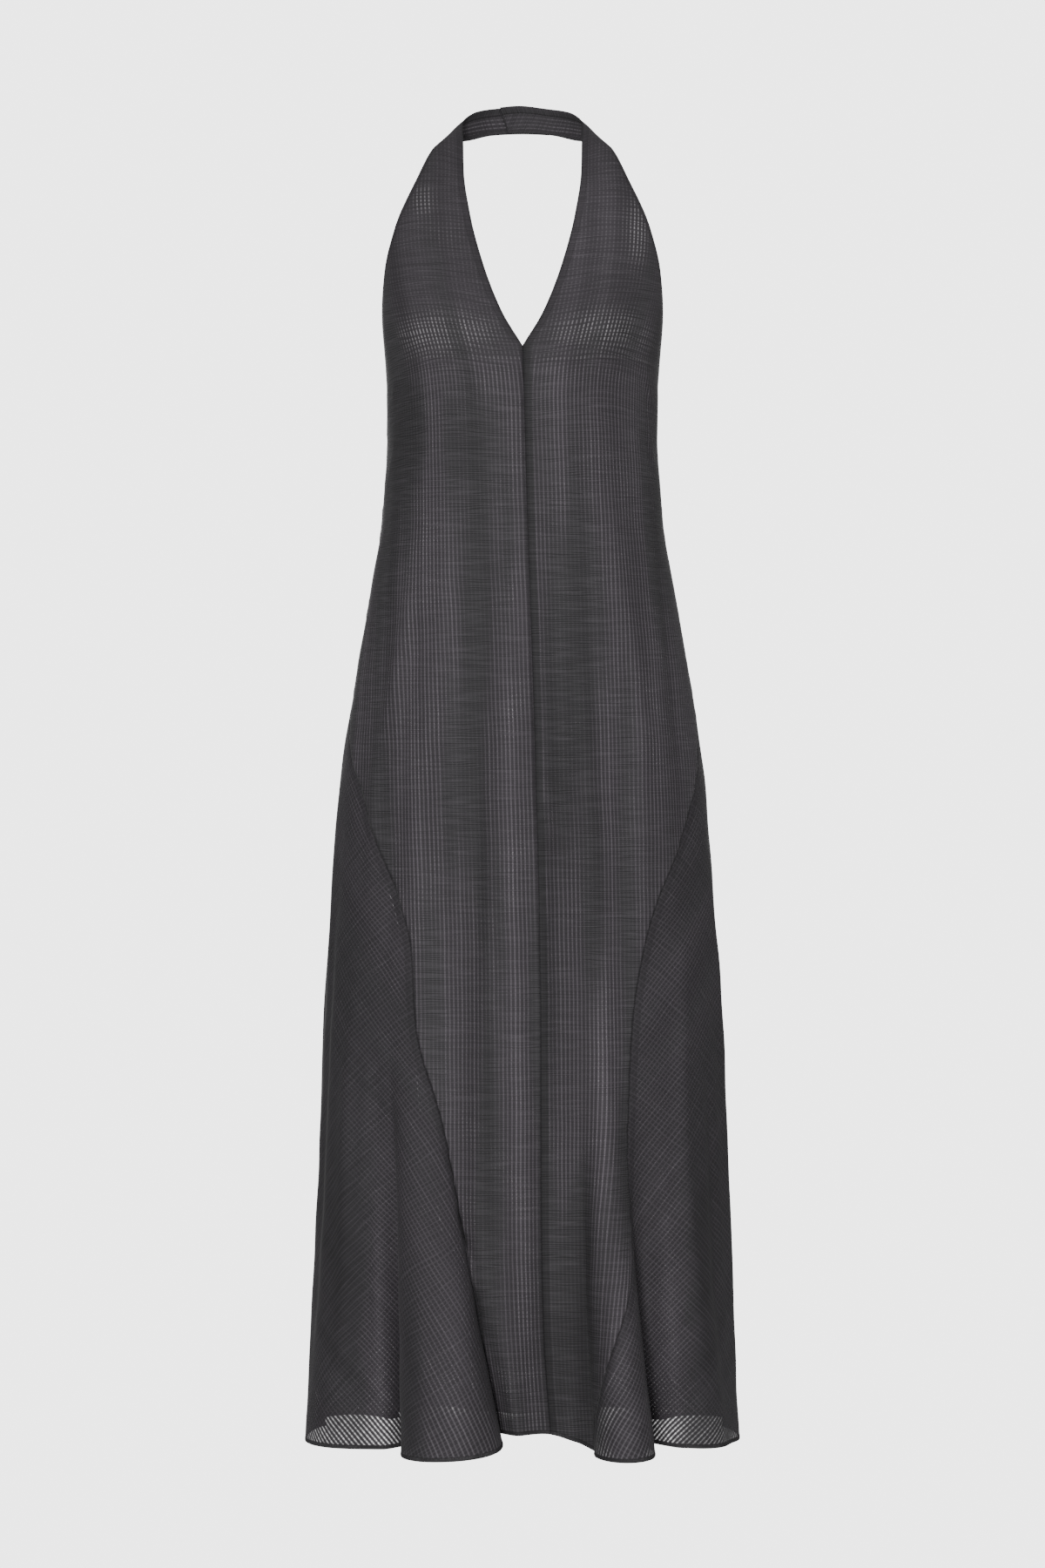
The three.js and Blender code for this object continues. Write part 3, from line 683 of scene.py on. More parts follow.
@dataclass(frozen=True)
class Cutter:
    """Cuts the panels of the form into fine grids of cloth with their creases and seam puckers.

    A pair that an easing reads holds where it is 0 and where it is 1.
    """

    form: DressForm
    # rows and columns of the grids
    skirt_rows: int = 150
    skirt_crowding: float = 1.08
    bodice_rows: int = 68
    strap_rows: int = 96
    strap_crowding: float = 1.35
    front_columns: int = 46
    back_columns: int = 92
    godet_columns: int = 116
    samples: int = 1400
    # pressed seams, strips and allowances
    seam_groove: float = 0.45
    seam_width: float = 1.6
    pucker: float = 0.5
    pucker_reach: float = 3.2
    join_run: float = 40
    neck_strip: float = 8
    arm_strip: float = 5
    godet_tip: float = 0.004
    godet_tip_fall: float = 0.02
    seam_allowance: float = 8
    centre_allowance: float = 7.4
    allowance_edge: tuple[float, float] = (0.6, -0.4)
    allowance_shade: float = 0.2
    # run of the weave
    fan_start: float = 14
    fan_smoothing: int = 7
    fan_share: float = 0.5
    strap_lean: float = 0.6
    lean_rows: int = 6
    strap_slope: float = 0.2
    slope_reach: float = 60
    bust_place: float = 84
    bust_spread: float = 52
    bust_arch: float = 9
    bust_rise: tuple[float, float] = (-420, -270)
    # how open the cloth is
    single: tuple[float, float] = (292, 258)
    nape: tuple[float, float] = (285, 325)
    nape_opening: float = 0.5
    front_open: float = 0.34
    front_opens: tuple[float, float] = (258, 300)
    strap_open: float = 0.025
    back_open: float = 0.45
    godet_open: float = 0.4
    open_range: tuple[float, float] = (0.03, 1.5)
    spots_reach: tuple[float, float] = (30, -20)
    hem_open_reach: float = 60
    hem_opening: float = 1.2
    shade_plainness: float = 4.0
    top_smooth: tuple[float, float] = (1.9, 2.0)

    def body_levels(self, with_bodice: bool) -> np.ndarray:
        """Levels of the rows, closer together at the hem."""
        skirt = np.linspace(0, 1, self.skirt_rows + 1) ** self.skirt_crowding
        bodice = 1 + np.linspace(0, 1, self.bodice_rows + 1)[1:]
        return np.concatenate([skirt, bodice]) if with_bodice else skirt

    def even_shares(self, start: np.ndarray, end: np.ndarray, levels: np.ndarray, columns: int) -> np.ndarray:
        """Shares at equal steps along the cloth of each row, read from the running length of the row.

        Args:
            start: share of the first seam at each level.
            end: share of the last seam at each level.
            levels: levels of the rows.
            columns: steps along a row.

        Returns:
            The shares of the grid's points.
        """
        shares = mix(start[:, None], end[:, None], np.linspace(0, 1, self.samples)[None, :])
        drops = self.form.drop_at(shares, levels[:, None])
        lengths = running_length(self.form.body_point(shares, drops), 1)
        wanted = np.linspace(0, 1, columns + 1)
        return np.stack([np.interp(wanted * row[-1], row, share) for row, share in zip(lengths, shares)])

    def seam_press(self, drops: np.ndarray, from_seam: np.ndarray) -> np.ndarray:
        """Height of a pressed seam: a narrow groove, and small puckers that run away from it.

        The puckers are three sine waves of the drop, two of them multiplied. Groove and puckers both fade as
        a bell curve of the way to the seam.

        Args:
            drops: drops of the points.
            from_seam: their way to the seam.

        Returns:
            Heights off the cloth.
        """
        groove = -self.seam_groove * np.exp(-((from_seam / self.seam_width) ** 2))
        ripple = np.sin(drops / 2.9) * np.sin(drops / 7.7 + 1.3) + 0.6 * np.sin(drops / 4.3 + 0.4)
        reach = self.pucker_reach * self.seam_width
        return groove + ripple * np.exp(-((from_seam / reach) ** 2)) * self.pucker

    def way_to_hem(self, shares: np.ndarray, drops: np.ndarray) -> np.ndarray:
        """Way down from each point to the hem."""
        return self.form.drop_at(shares, np.zeros_like(drops)) - drops

    def look(self, points: np.ndarray, openness: np.ndarray) -> np.ndarray:
        """How open the cloth is and its painted light and shade: the spots near each point, added to its
        openness.

        Args:
            points: points of the cloth.
            openness: how open it is without the spots.

        Returns:
            Openness and painted light and shade of each point.
        """
        painted_tone = np.ones(points.shape[:2])
        for x, drop, spread_x, spread_drop, open_more, painted_light in SPOTS.rows:
            away = ((points[..., 0] - x) / spread_x) ** 2 + ((-points[..., 2] - drop) / spread_drop) ** 2
            near = np.exp(-away) * ease(*self.spots_reach, points[..., 1])
            openness = openness + open_more * near
            # painted light and painted shade of the spot
            painted_tone = painted_tone + painted_light * near
        return np.stack([np.clip(openness, *self.open_range), painted_tone], axis=-1)

    def strap(self, side: Side, seat: np.ndarray) -> tuple[np.ndarray, np.ndarray]:
        """Rows of a strap, which grow out of the body's top row and lap at the nape.

        Args:
            side: the strap's side.
            seat: points of the body's top row.

        Returns:
            Points of the strap, and the run along it of each.
        """
        form = self.form
        way = np.linspace(0, 1, self.front_columns + 1)
        end = form.left_end if side is Side.LEFT else form.right_end
        progress = 1 - (1 - np.linspace(0, 1, self.strap_rows + 1)[1:]) ** self.strap_crowding
        runs = progress[:, None] * mix(end[0], end[1], way)[None, :]
        across = np.broadcast_to(way, runs.shape)
        points = form.strap_point(side, across, runs)
        step = seat - form.strap_point(side, way, np.zeros_like(way))
        points += step[None] * (1 - ease(0, self.join_run, runs))[..., None]
        points += form.strap_normal(side, across, runs) * form.lap(side, runs)[..., None]
        return points, runs

    def front_weave(self, side: Side, lengths: np.ndarray, drops: np.ndarray,
                    runs: np.ndarray) -> np.ndarray:
        """Weave of a front: lines that lean along the strap and bend below it, bars that arch at the bust.

        Args:
            side: the front's side.
            lengths: running length along each row of the body and strap.
            drops: drops of the body's points.
            runs: runs of the strap's points.

        Returns:
            The weave's coordinates, across the lines and up them.
        """
        count = len(drops)
        neck_u = np.interp(runs[:, 0], STRAP.column("run")[:self.lean_rows],
                           STRAP.column("neck_x")[:self.lean_rows])
        u = lengths + self.strap_lean * np.concatenate([np.zeros(count), neck_u])[:, None]
        depth = np.clip((drops - drops[-1]) / self.slope_reach, 0, 1)
        u[:count] += self.strap_slope * self.slope_reach / 2 * (1 - (1 - depth) ** 2)
        v = np.concatenate([-drops, -drops[-1][None] + runs])
        bust = np.exp(-(((u - self.bust_place) / self.bust_spread) ** 2)) * ease(*self.bust_rise, v)
        return np.stack([side.value * u, v - self.bust_arch * bust], axis=-1)

    def front_edges(self, side: Side, lengths: np.ndarray, on_strap: np.ndarray) -> np.ndarray:
        """Way to a front's finished edge, where the strip behind it is as wide as the armhole's.

        The centre seam's allowance lies behind the right front, so its band counts as an edge there.
        """
        from_inner = lengths * (self.arm_strip / np.where(on_strap, self.neck_strip, self.centre_allowance))
        inner = np.where(on_strap | (side is Side.RIGHT), from_inner, FAR)
        return np.minimum(np.where(on_strap, lengths[:, -1:] - lengths, FAR), inner)

    def front(self, side: Side) -> Cloth:
        """A front with its strap: body rows up to the V and underarm, then strap rows to the nape."""
        form = self.form
        levels = self.body_levels(True)
        count = len(levels)
        centre = form.seam_share("centre", levels)
        outer = side.value * form.seam_share(f"{side.word}_front", levels)
        way = np.linspace(0, 1, self.front_columns + 1)
        at_top = np.clip(levels - 1, 0, 1)[:, None] ** 2
        shares = mix(self.even_shares(centre, outer, levels, self.front_columns),
                     mix(centre[:, None], outer[:, None], way), at_top)
        drops = form.drop_at(shares, levels[:, None])
        body = form.body_point(shares, drops)
        strap, runs = self.strap(side, body[-1])
        points = np.concatenate([body, strap])

        lengths = running_length(points, 1)
        on_strap = np.arange(len(points))[:, None] >= count
        weave = self.front_weave(side, lengths, drops, runs)
        hem = np.concatenate([self.way_to_hem(shares, drops), np.full(runs.shape, FAR)])
        edges = np.stack([self.front_edges(side, lengths, on_strap), hem], axis=-1)
        from_seam = np.where(on_strap, FAR, np.minimum(lengths, lengths[:, -1:] - lengths))
        at_nape = np.concatenate([np.zeros(drops.shape), ease(*self.nape, runs)])
        plain = FAR * ease(*self.single, -points[..., 2]) * (1 - self.nape_opening * at_nape)
        seams = np.stack([from_seam, plain], axis=-1)
        look = self.look(points, self.front_open * ease(*self.front_opens, -points[..., 2]) + self.strap_open)
        if side is Side.RIGHT:
            start, full = self.allowance_edge
            behind = ease(self.centre_allowance + start, self.centre_allowance + full, lengths)
            look[..., 1] *= 1 - self.allowance_shade * np.where(on_strap, 0, behind)
        grids = [points, weave, edges, seams, look, shares, drops]
        if side is Side.LEFT:
            grids = [grid[:, ::-1] for grid in grids]
        points, weave, edges, seams, look, shares, drops = grids

        all_drops = np.concatenate([drops, np.repeat(drops[-1:], len(runs), axis=0)])
        height = self.seam_press(all_drops, seams[..., 0])
        height[:count] += form.creases(shares, drops) * (1 - ease(*self.top_smooth, levels))[:, None]
        normals = surface_normals(points)
        normals[:count] = form.body_normal(shares, drops)
        return Cloth(points + normals * height[..., None], weave, edges, seams, look)

    def body_grid(self, start: np.ndarray, end: np.ndarray, levels: np.ndarray,
                  columns: int) -> tuple[np.ndarray, np.ndarray, np.ndarray]:
        """Shares, drops and uncreased points of a stretch of the body between two seams."""
        shares = self.even_shares(start, end, levels, columns)
        drops = self.form.drop_at(shares, levels[:, None])
        return shares, drops, self.form.body_point(shares, drops)

    def panel(self, grid: tuple[np.ndarray, np.ndarray, np.ndarray], weave: np.ndarray,
              openness: float) -> Cloth:
        """Cloth of a back or godet: creased, pressed at both seams, with bands of allowance beside them.

        Args:
            grid: shares, drops and uncreased points.
            weave: the cut's own coordinates.
            openness: how open the weave is above the hem.

        Returns:
            The cloth.
        """
        shares, drops, points = grid
        lengths = running_length(points, 1)
        from_seam = np.minimum(lengths, lengths[:, -1:] - lengths)
        hem = self.way_to_hem(shares, drops)
        height = self.seam_press(drops, from_seam) + self.form.creases(shares, drops)
        pressed = points + self.form.body_normal(shares, drops) * height[..., None]
        at_hem = ease(self.hem_open_reach, self.hem_open_reach / 2, hem)
        look = self.look(points, openness * (1 + self.hem_opening * at_hem))
        plain = FAR * np.clip(self.shade_plainness * (1 - look[..., 1]), 0, 1)
        edges = np.stack([from_seam * (self.arm_strip / self.seam_allowance), hem], axis=-1)
        return Cloth(pressed, weave, edges, np.stack([from_seam, plain], axis=-1), look)

    def back(self) -> Cloth:
        """The back, from its right seam round the centre back to its left seam."""
        levels = self.body_levels(True)
        right = self.form.seam_share("right_back", levels)
        left = 4 - self.form.seam_share("left_back", levels)
        grid = self.body_grid(right, left, levels, self.back_columns)
        lengths = running_length(grid[2], 1)
        middle = self.back_columns // 2
        weave = np.stack([lengths - lengths[:, middle:middle + 1], -grid[1]], axis=-1)
        return self.panel(grid, weave, self.back_open)

    def godet(self, side: Side) -> Cloth:
        """A godet from one of its seams round the side to the other, up to its point."""
        levels = self.body_levels(False)
        tip = self.godet_tip * np.exp((levels - 1) / self.godet_tip_fall)
        front = side.value * (self.form.seam_share(f"{side.word}_front", levels) - tip)
        back = side.value * (self.form.seam_share(f"{side.word}_back", levels) + tip)
        start, end = (back, front) if side is Side.LEFT else (front, back)
        grid = self.body_grid(start, end, levels, self.godet_columns)
        bias = Bias.LEFT if side is Side.LEFT else Bias.RIGHT
        return self.panel(grid, self.fan_weave(grid[2], bias), self.godet_open)

    def fan_weave(self, points: np.ndarray, bias: Bias) -> np.ndarray:
        """Weave of a godet laid flat as a fan round its point, and turned by its bias.

        A point's distance from the fan's centre is its way down the middle column, and its angle is its
        distance from that column over the first one. The weave goes a share of the way from a plain strip to
        the fan, which keeps its lean more even.

        Args:
            points: uncreased points of the godet.
            bias: how the weave leans.

        Returns:
            The weave's coordinates.
        """
        middle = points.shape[1] // 2
        whole = running_length(points, 1)[:, -1]
        rows = np.arange(len(whole))
        fine = np.polynomial.Polynomial.fit(rows, whole, self.fan_smoothing)
        aside = np.linspace(-0.5, 0.5, points.shape[1])[None, :] * fine(rows)[:, None]
        up = running_length(points[:, middle:middle + 1], 0)
        radius = up[-1] - up + self.fan_start
        angle = aside / radius
        x = mix(aside, radius * np.sin(angle), self.fan_share)
        y = -mix(radius, radius * np.cos(angle), self.fan_share)
        lean = math.radians(bias.value)
        return np.stack([x * math.cos(lean) + y * math.sin(lean), y * math.cos(lean) - x * math.sin(lean)],
                        axis=-1)


@dataclass(frozen=True)
class Stitch:
    """A row's stitch: the pitch, its length, the thread's girth and how far the thread stands off."""

    pitch: float
    length: float
    girth: float
    lift: float = 0.0


class Mesher:
    """Puts grids, tubes and repeated shapes into Blender meshes, in metres in the part's frame."""

    spindle_way = np.array([-0.36, 0.0, 0.36])
    spindle_radius = np.array([0.34, 0.5, 0.34])
    spindle_corners = 5

    def __init__(self, origin: np.ndarray) -> None:
        """Keeps the origin of the part's frame, in the form's millimetres."""
        self.origin = origin

    def add(self, name: str, points: np.ndarray, faces: list[np.ndarray],
            uvs: dict[str, np.ndarray]) -> bpy.types.Object:
        """Makes an object from arrays.

        Args:
            name: the object's name.
            points: points in the form's millimetres, of shape (n, 3).
            faces: groups of faces with equally many corners, each an array of their points' numbers.
            uvs: for each UV map, its values at the points.

        Returns:
            The new object, at the origin, smooth shaded.
        """
        corners = np.concatenate([group.ravel() for group in faces]).astype(np.int32)
        sizes = np.concatenate([np.full(len(group), group.shape[1]) for group in faces])
        mesh = bpy.data.meshes.new(name)
        mesh.vertices.add(len(points))
        mesh.vertices.foreach_set("co", ((points - self.origin) * MM).astype(np.float32).ravel())
        mesh.loops.add(len(corners))
        mesh.loops.foreach_set("vertex_index", corners)
        mesh.polygons.add(len(sizes))
        mesh.polygons.foreach_set("loop_start", (np.cumsum(sizes) - sizes).astype(np.int32))
        mesh.polygons.foreach_set("use_smooth", np.ones(len(sizes), dtype=bool))
        mesh.update(calc_edges=True)
        for layer, values in uvs.items():
            uv = mesh.uv_layers.new(name=layer)
            uv.data.foreach_set("uv", values[corners].astype(np.float32).ravel())
        mesh.validate()
        obj = bpy.data.objects.new(name, mesh)
        bpy.context.scene.collection.objects.link(obj)
        return obj

    @staticmethod
    def grid_faces(rows: int, columns: int, closed: bool = False) -> np.ndarray:
        """Quads of a grid, facing out where columns run right and rows run up.

        With closed set, each row's last column joins its first.
        """
        i = np.arange(rows - 1)[:, None]
        j = np.arange(columns if closed else columns - 1)[None, :]
        k = (j + 1) % columns
        corners = [i * columns + j, i * columns + k, (i + 1) * columns + k, (i + 1) * columns + j]
        return np.stack(np.broadcast_arrays(*corners), axis=-1).reshape(-1, 4)

    @classmethod
    def capped_faces(cls, rows: int, columns: int) -> list[np.ndarray]:
        """Faces of closed rings: quads between them, and triangles to a point at each end.

        The two end points are numbered after all the rings' points.

        Args:
            rows: number of rings.
            columns: points of a ring.

        Returns:
            The quads and the triangles.
        """
        j = np.arange(columns)
        k = (j + 1) % columns
        pole, last = rows * columns, (rows - 1) * columns
        caps = [np.stack([np.full(columns, pole), k, j], axis=-1),
                np.stack([np.full(columns, pole + 1), last + j, last + k], axis=-1)]
        return [cls.grid_faces(rows, columns, closed=True), np.concatenate(caps)]

    def shell(self, name: str, cloth: Cloth, thickness: float) -> bpy.types.Object:
        """A thin shell of cloth: the grid is its outer face, and a Solidify modifier adds the inner one.

        Args:
            name: the object's name.
            cloth: the outer face and its maps.
            thickness: in millimetres.

        Returns:
            The new object.
        """
        faces = self.grid_faces(*cloth.points.shape[:2])
        obj = self.add(name, cloth.points.reshape(-1, 3), [faces], cloth.maps)
        solid = obj.modifiers.new("thickness", "SOLIDIFY")
        solid.thickness = thickness * MM
        solid.offset = -1
        solid.use_even_offset = False
        solid.use_rim = True
        return obj

    def capped(self, name: str, rings: np.ndarray, ends: np.ndarray, weave: np.ndarray) -> bpy.types.Object:
        """A closed shape of rings, with a point at each end.

        Args:
            name: the object's name.
            rings: points of shape (rings, corners, 3).
            ends: the point before the first ring and the one after the last.
            weave: the UV map of the rings' points, in millimetres.

        Returns:
            The new object, facing out.
        """
        values = weave.reshape(-1, 2)
        uvs = {"weave": np.concatenate([values, values[:1], values[-1:]]) * MM}
        points = np.concatenate([rings.reshape(-1, 3), ends])
        obj = self.add(name, points, self.capped_faces(*rings.shape[:2]), uvs)
        self.face_out(obj)
        return obj

    def tube(self, name: str, path: np.ndarray, normals: np.ndarray, towards: np.ndarray,
             section: np.ndarray) -> bpy.types.Object:
        """A closed profile carried along a path, with both ends capped.

        The section's first number goes along the surface normal. Its second goes across the path, along the
        cross product of normal and tangent, turned to the side that towards shows.

        Args:
            name: the object's name.
            path: points of the path.
            normals: surface normals at the points.
            towards: directions on the side that the section's second number counts as positive.
            section: closed profile of shape (k, 2), in millimetres.

        Returns:
            The new object.
        """
        tangents = unit(np.gradient(path, axis=0))
        across = np.cross(normals, tangents)
        across = unit(across) * np.sign(np.mean(np.sum(across * towards, axis=-1)))
        upright = unit(np.cross(tangents, across))
        upright = upright * np.sign(np.sum(upright * normals, axis=-1, keepdims=True))
        rings = (path[:, None] + upright[:, None] * section[None, :, :1]
                 + across[:, None] * section[None, :, 1:])
        ends = np.stack([rings[0].mean(0), rings[-1].mean(0)])
        weave = np.broadcast_arrays(running_length(section, 0)[None, :], running_length(path, 0)[:, None])
        return self.capped(name, rings, ends, np.stack(weave, axis=-1))

    @staticmethod
    def face_out(obj: bpy.types.Object) -> None:
        """Turns a closed mesh's faces outward if its signed volume is negative."""
        mesh = obj.data
        mesh.calc_loop_triangles()
        corners = np.empty(len(mesh.loop_triangles) * 3, dtype=np.int32)
        mesh.loop_triangles.foreach_get("vertices", corners)
        co = np.empty(len(mesh.vertices) * 3, dtype=np.float32)
        mesh.vertices.foreach_get("co", co)
        a, b, c = np.moveaxis(co.reshape(-1, 3)[corners.reshape(-1, 3)], 1, 0)
        if np.sum(a * np.cross(b, c)) < 0:
            mesh.flip_normals()

    def stitches(self, name: str, path: np.ndarray, normals: np.ndarray, stitch: Stitch) -> bpy.types.Object:
        """A row of stitches: small spindles at even steps along a path, each lying along it.

        Args:
            name: the object's name.
            path: points that the row follows.
            normals: surface normals at the points.
            stitch: the row's stitch.

        Returns:
            The new object.
        """
        along = running_length(path, 0)
        places = np.arange(stitch.pitch / 2, along[-1], stitch.pitch)
        spots, up, forward = (
            np.stack([np.interp(places, along, values[:, k]) for k in range(3)], axis=-1)
            for values in (path, normals, np.gradient(path, axis=0))
        )
        up = unit(up)
        forward = unit(forward - up * np.sum(forward * up, axis=-1, keepdims=True))
        return self.spindles(name, spots + up * stitch.lift, forward, up, stitch.length, stitch.girth)

    def spindles(self, name: str, spots: np.ndarray, forward: np.ndarray, up: np.ndarray, length: float,
                 girth: float) -> bpy.types.Object:
        """Small closed spindles, each at a spot and lying along its forward vector.

        A spindle's radius is a half ellipse of the way along it, with three rings and a point at each end.

        Args:
            name: the object's name.
            spots: middles of the spindles.
            forward: directions along them.
            up: directions across them.
            length: length of a spindle.
            girth: thickness of a spindle.

        Returns:
            The new object.
        """
        angles = np.arange(self.spindle_corners) * 2 * np.pi / self.spindle_corners
        ring = (np.cross(forward, up)[:, None, None] * np.cos(angles)[None, None, :, None]
                + up[:, None, None] * np.sin(angles)[None, None, :, None])
        way = (self.spindle_way * length)[None, :, None, None]
        radius = (self.spindle_radius * girth)[None, :, None, None]
        body = spots[:, None, None] + forward[:, None, None] * way + ring * radius
        count = len(spots)
        tips = np.stack([spots - forward * length / 2, spots + forward * length / 2], axis=1)
        points = np.concatenate([body.reshape(count, -1, 3), tips], axis=1)
        step = (np.arange(count) * points.shape[1])[:, None, None]
        faces = [(group[None] + step).reshape(-1, group.shape[1])
                 for group in self.capped_faces(len(self.spindle_way), self.spindle_corners)]
        points = points.reshape(-1, 3)
        obj = self.add(name, points, faces, {"weave": np.zeros((len(points), 2))})
        self.face_out(obj)
        return obj


class Shader:
    """A material's node tree, with short calls that add a node and give back its output."""

    noise_roughness = 0.55

    def __init__(self, name: str) -> None:
        """Starts an empty material with its output node."""
        self.material = bpy.data.materials.new(name)
        self.material.use_nodes = True
        self.tree = self.material.node_tree
        self.tree.nodes.clear()
        self.output = self.tree.nodes.new("ShaderNodeOutputMaterial")

    def node(self, kind: str, inputs: dict | None = None, **settings: object) -> bpy.types.Node:
        """Adds a node, sets its properties and fills its inputs with numbers or links.

        Args:
            kind: the node's type.
            inputs: values or links by the socket's name.
            settings: properties of the node.

        Returns:
            The new node.
        """
        node = self.tree.nodes.new(kind)
        for key, value in settings.items():
            setattr(node, key, value)
        for key, value in (inputs or {}).items():
            if isinstance(value, bpy.types.NodeSocket):
                self.tree.links.new(value, node.inputs[key])
            else:
                node.inputs[key].default_value = value
        return node

    def math(self, operation: str, *values: object) -> bpy.types.NodeSocket:
        """A Math node of one operation."""
        return self.node("ShaderNodeMath", dict(enumerate(values)), operation=operation).outputs[0]

    def range(self, value: object, low: float, high: float, to_low: float = 0.0,
              to_high: float = 1.0) -> bpy.types.NodeSocket:
        """A smooth step from one range to another."""
        inputs = {"Value": value, "From Min": low, "From Max": high, "To Min": to_low, "To Max": to_high}
        return self.node("ShaderNodeMapRange", inputs, interpolation_type="SMOOTHSTEP").outputs["Result"]

    def product(self, first: object, *others: object) -> bpy.types.NodeSocket:
        """All values multiplied."""
        for other in others:
            first = self.math("MULTIPLY", first, other)
        return first

    def rest(self, value: object) -> bpy.types.NodeSocket:
        """What a value leaves of 1."""
        return self.math("SUBTRACT", 1.0, value)

    def off_middle(self, steps: object) -> bpy.types.NodeSocket:
        """How far a value lies from the middle between two whole numbers."""
        return self.math("ABSOLUTE", self.math("SUBTRACT", self.math("FRACT", steps), 0.5))

    def uv(self, layer: str) -> tuple[bpy.types.NodeSocket, bpy.types.NodeSocket]:
        """Both coordinates of a UV map."""
        split = self.node("ShaderNodeSeparateXYZ", {0: self.node("ShaderNodeUVMap", uv_map=layer).outputs[0]})
        return split.outputs[0], split.outputs[1]

    def noise(self, x: object, y: object, scale_x: float, scale_y: float,
              detail: float) -> bpy.types.NodeSocket:
        """Noise stretched by its own scale along each of two coordinates."""
        vector = self.node("ShaderNodeCombineXYZ", {
            0: self.math("MULTIPLY", x, scale_x), 1: self.math("MULTIPLY", y, scale_y)}).outputs[0]
        inputs = {"Vector": vector, "Scale": 1.0, "Detail": detail, "Roughness": self.noise_roughness}
        return self.node("ShaderNodeTexNoise", inputs, noise_dimensions="2D").outputs[0]

    def blend(self, share: object, first: object, second: object) -> bpy.types.NodeSocket:
        """A colour between two others.

        Args:
            share: how much of the second colour.
            first: a colour or link.
            second: a colour or link.

        Returns:
            The mixed colour.
        """
        node = self.node("ShaderNodeMix", data_type="RGBA")
        for index, value in ((0, share), (6, first), (7, second)):
            if isinstance(value, bpy.types.NodeSocket):
                self.tree.links.new(value, node.inputs[index])
            elif index == 0:
                node.inputs[index].default_value = value
            else:
                node.inputs[index].default_value = (*value, 1.0)
        return node.outputs[2]

    def finish(self, inputs: dict) -> bpy.types.Material:
        """Ends the material with a Principled surface that has the given inputs."""
        skin = self.node("ShaderNodeBsdfPrincipled", inputs)
        self.tree.links.new(skin.outputs[0], self.output.inputs[0])
        return self.material


